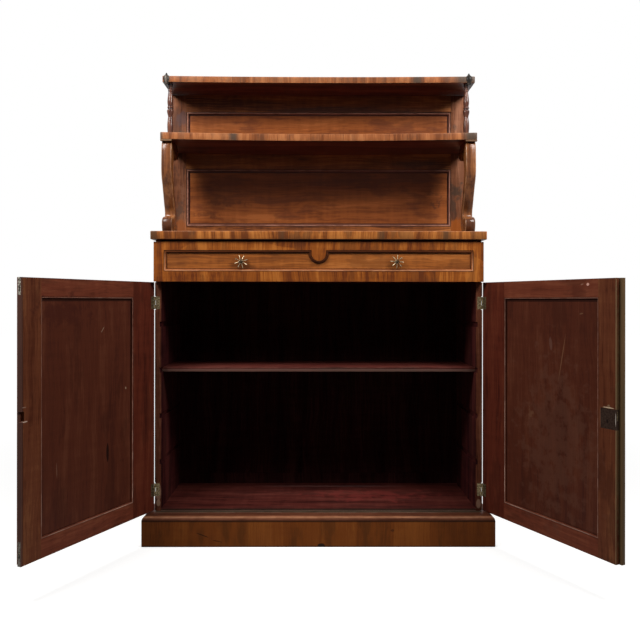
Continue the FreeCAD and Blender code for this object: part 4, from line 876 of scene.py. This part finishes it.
DOOR_LOW = 0.143
DOOR_HIGH = 0.742
HINGE_SIDE = 0.402
MEETING_SIDE = 0.0585
DOOR_BOTTOM_RUN_UNDER = 0.163
PAINTED_SHADE_OVER = 0.151
dark_trim = timber("dark_trim_wood", rail_tones, along_grain, 55.0, figure=0.3, gloss=0.45,
                   specular=0.05, shade=(45, 13, 8), dirt_and_shade=(12, 4, 3), wear_and_highlight=(560, 360, 280),
                   scuff=(0.3, 0.35))


def mitred(left, right, low, high, width):
    """The outer and the inner line of a moulding of some width round a rectangle."""
    outer = np.array([[left, low], [right, low], [right, high], [left, high]])
    return outer, outer + width * np.array([[1, 1], [-1, 1], [-1, -1], [1, -1]])


def door_rub_and_highlight(x, z):
    """The bottom run is lightened most, as worn polish and as painted highlight where it faces up,
    and more so near the hinges.
    """
    return np.where(z < DOOR_BOTTOM_RUN_UNDER, np.where(np.abs(x) > 0.3, 2.2, 1.3), 0.6)


def bead_painted_shade(x, z, share):
    """Painted shade in the inner half of all runs but the bottom one."""
    return 1.0 * ((z > PAINTED_SHADE_OVER) & (share > 0.5))


for side, sign in HANDS:
    ends = sorted([sign * HINGE_SIDE, sign * MEETING_SIDE])
    for kind, width, height, lie, painted_shade, material, slot in (
            ("inner_bead", 0.006, 0.0055, upright_at(INNER_FACE, 1), bead_painted_shade, dark_trim,
             "door_wood"),
            ("moulding", 0.009, 0.007, upright_at(OUTER_FACE), None, trim_wood, "polished_wood")):
        trim = carried(f"{side}_{kind}", *mitred(*ends, DOOR_LOW, DOOR_HIGH, width),
                       ovolo(width, height), lambda *place: hang(lie(*place), side), rub_and_highlight=door_rub_and_highlight,
                       painted_shade=painted_shade)
        fit(trim, material, f"{side}_door_{kind}", body=f"{side}_door", slot=slot)

# Hinges, flush bolts and lock: brass butts and bolt plates let into the wood, and an iron lock
# case held by four countersunk screws, all dull with age.

tarnish = dull_metal("tarnished_brass", (200, 155, 85), (70, 50, 28), 0.5, 0.5)
for name in ("carcass_hinge_leaves_left", "carcass_hinge_leaves_right", "left_door_hinge_leaves",
             "right_door_hinge_leaves", "upper_flush_bolt", "lower_flush_bolt", "lock_bolt"):
    dress(name, tarnish)
# Two marks on the lock case: a painted glint streaking down near its edge, and its dark keyhole.
lock_painted_glint_and_keyhole = blemishes([
    (5.6, -131, 445, 1, 10, 18, 0, 500, 460, 400, 0.7),
    (30.8, -131, 438.4, 3, 10, 6, 0, 8, 5, 4, 0.9)], shut_place("right"))
iron = dull_metal("dark_iron", (46, 28, 21), (28, 16, 12), 0.55, 0.25, lock_painted_glint_and_keyhole)
dress("right_door_lock_case", iron)
plate_soil = blemishes([(0, -142, 120, 8.8, 30, 60, 0, 40, 32, 24, 0.85)], shut_place("left"))
plates = dull_metal("bolt_plate_brass", (460, 420, 350), (80, 64, 45), 0.45, 0.7, plate_soil)
dress("left_door_bolt_plates", plates)
LOCK_FACE = -0.131
SCREW_REACH = 0.0021


def lock_screw(name, across, up, slot_turn):
    """A countersunk head: a low dome whose height drops by the slot's depth where the distance
    across the slot's line is under half its width."""
    turn = np.linspace(0, 2 * math.pi, 64, endpoint=False)
    share = np.array([1.0, 1.0, 0.93, 0.8, 0.62, 0.42, 0.24, 0.12, 0.02])[:, None]
    first, second = SCREW_REACH * share * np.cos(turn), SCREW_REACH * share * np.sin(turn)
    off_line = np.abs(first * math.sin(slot_turn) - second * math.cos(slot_turn))
    in_slot = np.clip(1.6 - off_line / (0.13 * SCREW_REACH), 0, 1)
    lift = 0.0005 + 0.0003 * (1 - share ** 2) - 0.0005 * in_slot
    lift[0] = -0.0004
    points = np.stack([across + first, LOCK_FACE + lift, up + second], -1)
    return skin(name, hang(points, "right"), {"stain_and_shade": in_slot})


SCREW_ACROSS = (0.0095, 0.0465)
SCREW_UP = (0.4238, 0.4662)
for number in range(4):
    fit(lock_screw(f"lock_screw_{number + 1}", SCREW_ACROSS[number % 2], SCREW_UP[number // 2],
                   0.4 + 0.9 * number), iron, body="right_door", slot="iron")

# Panelled back above the slab: stiles and rails veneered with upright and long grain, two panels
# with mitred mouldings; bare behind.

RAIL_BACK = 0.1745
PANEL_BACK = 0.1735
back_bare = (outside(1, RAIL_BACK), bare_tones, 0.8)
back_stile_tones = ((80, 29, 16), (165, 61, 30), (240, 99, 52))
stile_spots = [
    (476, 160, 1120, 22, 30, 40, 0.2, 50, 36, 27, 0.75),
    (466, 160, 1060, 12, 30, 30, -0.3, 60, 40, 28, 0.5),
    (480, 160, 985, 34, 30, 55, 0, 340, 88, 14, 0.75),
    (-478, 160, 1045, 16, 30, 45, 0.2, 70, 45, 36, 0.65),
    (-470, 160, 1110, 14, 30, 30, 0, 200, 90, 55, 0.5),
    (-478, 160, 975, 30, 30, 45, 0, 320, 90, 20, 0.6),
    (-472, 160, 1360, 26, 30, 55, 0.2, 80, 50, 50, 0.7),
    (-474, 160, 1310, 22, 30, 12, 0.1, 60, 48, 36, 0.6),
    (470, 160, 1330, 12, 30, 20, 0.4, 60, 40, 30, 0.5)]
stile_veneer = timber("back_stile_veneer", back_stile_tones, upright_grain, 61.0, bands=34.0,
                      figure=0.6, crisp=0.05, shade=(70, 34, 24), specular=0.03, gloss=0.5,
                      other=back_bare, marks=blemishes(stile_spots))
STILE_ACROSS = (0.457, 0.507)
stile_span = list(zip(*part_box("backboard_stiles")))[1:]
for hand, sign in HANDS:
    fit(strip(f"back_stile_{hand}", sign, STILE_ACROSS, *stile_span, 1, 0.001, 0.0012),
        stile_veneer, "backboard_stiles")
dress("backboard_rails", timber("back_rail_veneer", polish_tones, long_grain, 62.0,
                                figure=0.3, other=back_bare))
back_field_tones = ((146, 38, 9), (235, 65, 15), (315, 98, 26))
panel_spots = [
    (-330, 168, 1075, 75, 20, 16, 0.1, 75, 20, 8, 0.55),
    (-390, 168, 1030, 50, 20, 10, 0, 75, 20, 8, 0.5),
    (-100, 168, 1020, 60, 20, 8, 0, 90, 24, 10, 0.4),
    (420, 168, 1076, 9.5, 20, 24, 0.2, 45, 16, 10, 0.55),
    (400, 168, 1060, 9.5, 20, 20, -0.3, 45, 16, 10, 0.5),
    (385, 168, 1105, 35, 20, 10, 0, 90, 24, 10, 0.4)]
for number, name in enumerate(("lower_back_panel", "upper_back_panel")):
    dress(name, timber(f"{name}_wood", back_field_tones, long_grain, 63.0 + number,
                       bands=30.0, figure=0.5, shade=(85, 21, 9), marks=blemishes(panel_spots),
                       other=(outside(1, PANEL_BACK), bare_tones, 0.8)))
back_trim_tones = ((70, 22, 13), (130, 42, 24), (200, 72, 44))
back_trim = timber("back_trim_wood", back_trim_tones, along_grain, 65.0, figure=0.15,
                   shade=(18, 5, 4), wear_and_highlight=(560, 290, 210), scuff=(0.3, 0.4))
BACK_TRIM = 0.0115
for name in ("lower", "upper"):
    low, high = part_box(f"{name}_panel_moulding")
    trim = carried(f"{name}_field_trim", *mitred(low.x, high.x, low.z, high.z, BACK_TRIM),
                   ovolo(BACK_TRIM, 0.007), upright_at(high.y))
    fit(trim, back_trim, f"{name}_panel_moulding")

# Two shelves of the upper part, with banded front edges; the middle one has softly rounded front
# corners.

TOP_SHELF_REACH = 0.0075
shelf_tones = ((125, 37, 12), (225, 72, 24), (325, 120, 44))
shelf_veneer = timber("shelf_veneer", shelf_tones, edge_or_top, 67.0, bands=52.0, streaks=280.0,
                      figure=0.2, crisp=0.05, leaf=0.045, shade=(42, 34, 26), other=top_and_underside_shade_finish,
                      marks=blemishes([(0, 20, 1453, 600, 50, 12, 0, 100, 55, 34, 0.3)]))
middle_spans = [(0.447, 0.53), (-0.29, -0.25), (-0.52, -0.488)]
top_spans = [(0.425, 0.54), (0.3, 0.34), (-0.505, -0.482)]
for name, reach, corner, sag, spans in (
        ("middle_shelf", 0, 0.006, 0.006, middle_spans),
        ("top_shelf", TOP_SHELF_REACH, 0.004, 0.003, top_spans)):
    low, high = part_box(name)
    low.x, high.x = low.x - reach, high.x + reach
    fit(board(f"{name}_board", low, high, 2, corner, 0.0015, 120,
              banded(67.0, low.y + 0.0009, high.x - 0.0009), patches(spans, low.y + 0.003), sag),
        shelf_veneer, name)

# Scroll supports.  Two S-shaped brackets sawn from thick wood: a roll under the shelf behind, a
# swelling front, and a roll on the slab.  The front is cushioned and its arrises are rounded.

SHELF_FRONT = -0.049
SHELF_UNDER = 1.2425
SLAB_TOP = 0.942
under_shelf = [(95, 0, None), (12, 0, 87), (3, -31, 600), (0, -87, 88), (17, -142, None),
               (46, -206, -60)]
on_slab = [(55, 74, -13), (34, 61, 24), (9, 38, 50), (18, 8, 12), (31, 0, None), (41, 0, 52),
           (90, 60, 70)]
behind = [(76, -206, None), (49, -142, -90), (36, -90, -62), (68, -38, -16), (77, -42, 25),
          (120, -25, 25)]
scroll_outline = [
    (deep / 1000, seat + up / 1000, bend and bend / 1000)
    for rows, seat in ((under_shelf, SHELF_UNDER), (on_slab, SLAB_TOP), (behind, SHELF_UNDER))
    for deep, up, bend in rows]


def arc_points(start, end, bend, steps):
    """Points from start to end on the short arc of the given radius, a left turn if positive."""
    start, end = np.asarray(start), np.asarray(end)
    share = np.linspace(0, 1, steps, endpoint=False)
    if bend is None:
        return start + (end - start) * share[:, None]
    chord = end - start
    length = np.hypot(*chord)
    left_way = np.array([-chord[1], chord[0]]) / length
    middle = (start + end) / 2 + left_way * math.copysign(
        math.sqrt(max(bend * bend - length * length / 4, 0)), bend)
    first = math.atan2(*(start - middle)[::-1])
    sweep = 2 * math.asin(min(length / 2 / abs(bend), 1)) * math.copysign(1, bend)
    angle = first + sweep * share
    return middle + abs(bend) * np.stack([np.cos(angle), np.sin(angle)], -1)


def scroll(name, inner_side, width):
    """The outline stepped across the width: each ring is drawn in along its normals.

    The draw-in is a shallow parabola over the width plus a quarter circle at each arris.
    """
    runs = []
    for number, (deep, up, bend) in enumerate(scroll_outline):
        end = scroll_outline[(number + 1) % len(scroll_outline)]
        runs.append(arc_points((deep, up), end[:2], bend, 14 if bend else 3))
    outline = np.vstack(runs)
    ahead = np.roll(outline, -1, 0) - np.roll(outline, 1, 0)
    normal = np.stack([ahead[:, 1], -ahead[:, 0]], -1) / np.linalg.norm(ahead, axis=1)[:, None]
    seated = (outline[:, 1] > SHELF_UNDER - 1e-4) | (outline[:, 1] < SLAB_TOP + 1e-4)
    normal[seated, 1] = 0
    half, arris, cushion = width / 2, 0.0034, 0.0026
    edge = half - arris * (1 - np.cos(np.radians([0, 22, 45, 67, 90])))
    offsets = np.concatenate([-edge, np.linspace(-0.6, 0.6, 7) * half, edge[::-1]])
    rim = np.clip(arris - (half - np.abs(offsets)), 0, arris)
    drawn = cushion * (offsets / half) ** 2 + arris - np.sqrt(arris ** 2 - rim ** 2)
    ring = outline[None] - drawn[:, None, None] * normal[None]
    points = np.stack([np.broadcast_to((inner_side + half + offsets)[:, None], ring.shape[:2]),
                       SHELF_FRONT + ring[..., 0], ring[..., 1]], -1)
    grain = np.stack([points[..., 2], points[..., 1], points[..., 0]], -1)
    wear_and_highlight = np.broadcast_to(((rim > 0.0004) & (rim < arris * 0.96))[:, None] * 1.0, ring.shape[:2])
    # The front of the foot roll, low on the slab, is darkened toward the dirt colour: painted
    # shade.
    painted_roll_shade = (points[..., 1] < SHELF_FRONT + 0.04) & (points[..., 2] < SLAB_TOP + 0.052)
    return skin(name, points, {"grain": grain, "wear_and_highlight": wear_and_highlight, "stain_and_shade": painted_roll_shade * 0.75})


SCROLL_WIDTH = 0.0325
SCROLL_OUTER = 0.4985
scroll_tones = ((78, 24, 7), (155, 51, 15), (245, 92, 30))
scroll_wood = timber("scroll_wood", scroll_tones, along_grain, 71.0, bands=40.0, gloss=0.24,
                     specular=0.2, dirt_and_shade=(46, 13, 5), wear_and_highlight=(420, 220, 110))
for hand, low_side in (("left", -SCROLL_OUTER), ("right", SCROLL_OUTER - SCROLL_WIDTH)):
    fit(scroll(f"scroll_{hand}", low_side, SCROLL_WIDTH), scroll_wood, f"scroll_support_{hand}")

# Shelf brackets: small fillets glued under the front corners of the middle shelf, ahead of the
# scrolls, where they hide the joint.

BRACKET_ACROSS = (0.4645, 0.5013)
BRACKET_DEEP = (-0.0497, -0.0415)
BRACKET_UP = (1.237, SHELF_UNDER)
bracket_tones = ((50, 28, 16), (110, 62, 34), (180, 104, 58))
bracket_wood = timber("bracket_wood", bracket_tones, along_grain, 73.0, figure=0.4, specular=0.08)
for hand, sign in HANDS:
    fit(strip(f"shelf_bracket_{hand}", sign, BRACKET_ACROSS, BRACKET_DEEP, BRACKET_UP, 1, 0.0026,
              0.0008), bracket_wood)

# Turned columns and corner buds: dark close-grained wood from the lathe.  Each column has two
# bottle-shaped vases about a cup and a thin neck; the buds are let into the top shelf's corners.

COLUMN_FOOT = 1.263
COLUMN_DEEP = 0.039
stations = [
    (0, 0), (7.6, 0), (7.6, 3), (6, 5), (6.2, 8), (8.6, 22), (9.6, 36), (9.7, 44), (9.2, 54),
    (8, 65), (7.2, 72), (7.4, 75), (8.8, 81), (10, 86), (10.5, 89), (10.5, 93), (9.6, 95),
    (7.9, 96.5), (7.8, 99.5), (9, 101), (9.4, 103), (8.9, 105), (7.8, 107), (8.2, 111), (9.1, 117),
    (9.3, 123), (8.8, 131), (7.6, 142), (6.5, 152), (6, 155), (7.2, 156.5), (7.2, 159),
    (6.2, 160.5), (6, 163), (6.6, 165.5), (6.3, 168), (6.8, 171), (8, 176), (8.6, 180), (0, 180)]


def smooth(points, steps=4):
    """Points in between by cubic interpolation, except where two lie close, which stay a corner."""
    points = np.asarray(points, float)
    travel = np.concatenate([[0], np.cumsum(np.linalg.norm(np.diff(points, axis=0), axis=1))])
    tangent = np.gradient(points, travel, axis=0)
    gaps = np.diff(travel)[:, None, None]
    share = np.linspace(0, 1, steps, endpoint=False)[None, :, None]
    keep = ((gaps > 4.9) & (np.abs(np.diff(points[:, 0]))[:, None, None] > 0)) * 1.0
    start, end = points[:-1, None], points[1:, None]
    pull = gaps * keep
    curve = ((2 * share ** 3 - 3 * share ** 2 + 1) * start + (share ** 3 - 2 * share ** 2 + share)
             * pull * tangent[:-1, None] + (3 * share ** 2 - 2 * share ** 3) * end
             + (share ** 3 - share ** 2) * pull * tangent[1:, None])
    line = start + (end - start) * share
    made = (curve * keep + line * (1 - keep)).reshape(-1, points.shape[1])
    return np.vstack([made, points[-1]])


column_tones = ((45, 14, 9), (92, 32, 19), (165, 64, 37))
turned_wood = timber("turned_wood", column_tones, along_grain, 75.0, bands=60.0, figure=0.4,
                     gloss=0.2, specular=0.2, shade=(14, 4, 4))
# The bud's light tone is a pale grey, so its streaks show as pale specks: painted highlights on
# dark wood.
bud_tones = ((6, 5, 4), (28, 22, 18), (150, 125, 105))
bud_wood = timber("bud_wood", bud_tones, along_grain, 78.0, bands=90.0, streaks=420.0, figure=0.6,
                  shade=(8, 6, 5), gloss=0.34, specular=0.14)
bud_stations = [
    (0, -6), (6.8, -6), (8.2, -1), (10.4, 5), (11.8, 11), (11.9, 15), (10.6, 19.5), (7.2, 23.5),
    (4.2, 26), (3.2, 28.2), (2.6, 30), (1.2, 31.8), (0, 32)]
TOP_UNDER = 1.443
BUD_DEEP = 0.0235
for hand, column_across, bud_across in (("left", -0.4874, -0.4965), ("right", 0.4846, 0.4897)):
    fit(lathe(f"column_{hand}", smooth(stations) / 1000, (column_across, COLUMN_DEEP, COLUMN_FOOT)),
        turned_wood, "turned_columns")
    fit(lathe(f"bud_{hand}", smooth(bud_stations) / 1000, (bud_across, BUD_DEEP, TOP_UNDER),
              rounds=40), bud_wood, "corner_finials")

# Studio: a pale paper floor that fades into a white room, and two soft square lamps high in
# front, one on either hand.


def white_where_seen(tree):
    """1 for rays that show the background: from the camera, off gloss and through glass."""
    path = put(tree, "LightPath")
    seen = sums(tree, "MAXIMUM", path.outputs["Is Camera Ray"], path.outputs["Is Glossy Ray"])
    return sums(tree, "MAXIMUM", seen, path.outputs["Is Transmission Ray"])


world = bpy.data.worlds.new("room")
world.use_nodes = True
bpy.context.scene.world = world
room = world.node_tree
ground = room.nodes["Background"]
backdrop = put(room, "Background", {"Color": (1, 1, 1, 1), "Strength": 1.0})
ground.inputs["Color"].default_value = (0.95, 0.97, 1.0, 1)
ground.inputs["Strength"].default_value = 0.02
choice = put(room, "MixShader", {0: white_where_seen(room), 1: ground.outputs[0],
                                 2: backdrop.outputs[0]})
room.links.new(choice.outputs[0], room.nodes["World Output"].inputs[0])

FLOOR_REACH = 12.0
corner_points = FLOOR_REACH * np.array([[-1, -1, 0], [1, -1, 0], [1, 1, 0], [-1, 1, 0.0]])
floor_mesh = bpy.data.meshes.new("floor")
floor_mesh.from_pydata(corner_points.tolist(), [], [(0, 1, 2, 3)])
floor = in_scene("floor", floor_mesh)
paper, page, plain_surface = new_material("paper")
page.nodes.remove(plain_surface)
glow = put(page, "MapRange", {"Value": vectors(page, "LENGTH", own_place(page)), "From Min": 0.9,
                              "From Max": 2.8, "To Min": 0.72, "To Max": 1.0}).outputs[0]
lit_floor = put(page, "BsdfDiffuse", {"Color": (0.5, 0.5, 0.5, 1)}).outputs[0]
shining = put(page, "Emission", {"Color": (1, 1, 1, 1), "Strength": glow}).outputs[0]
seen_floor = put(page, "AddShader", {0: lit_floor, 1: shining}).outputs[0]
dim_floor = put(page, "BsdfDiffuse", {"Color": (0.16, 0.16, 0.16, 1)}).outputs[0]
shown = put(page, "MixShader", {0: white_where_seen(page), 1: dim_floor, 2: seen_floor})
page.links.new(shown.outputs[0], page.nodes["Material Output"].inputs[0])
floor_mesh.materials.append(paper)


def lamp(name, place, aim, size, power):
    """A square soft lamp at a place, turned towards the aim."""
    light = bpy.data.lights.new(name, "AREA")
    light.size = size
    light.energy = power
    light.color = (1.0, 0.985, 0.96)
    made = in_scene(name, light)
    made.location = place
    way = np.asarray(aim, float) - place
    made.rotation_euler = (math.acos(-way[2] / np.linalg.norm(way)), 0,
                           math.atan2(way[1], way[0]) - math.pi / 2)


LAMP_SIZE = 0.6
LAMP_POWER = 38
for hand, sign in HANDS:
    lamp(f"lamp_{hand}", (sign * 1.1, -0.9, 2.06), (0, 0, 0.8), LAMP_SIZE, LAMP_POWER)

# Camera: it stands level at table height, a little over two metres in front of the doors'
# plane, with the lens shifted down a little.

camera_data = bpy.data.cameras.new("camera")
camera = in_scene("camera", camera_data)
bpy.context.scene.camera = camera
camera.location = (-0.0047, -2.2516, 0.731)
camera.rotation_euler = (math.pi / 2, -0.00092, -0.00404)
camera_data.sensor_width = 36.0
camera_data.lens = 39.23
camera_data.shift_y = -0.0292
bpy.context.scene.view_settings.view_transform = "Standard"
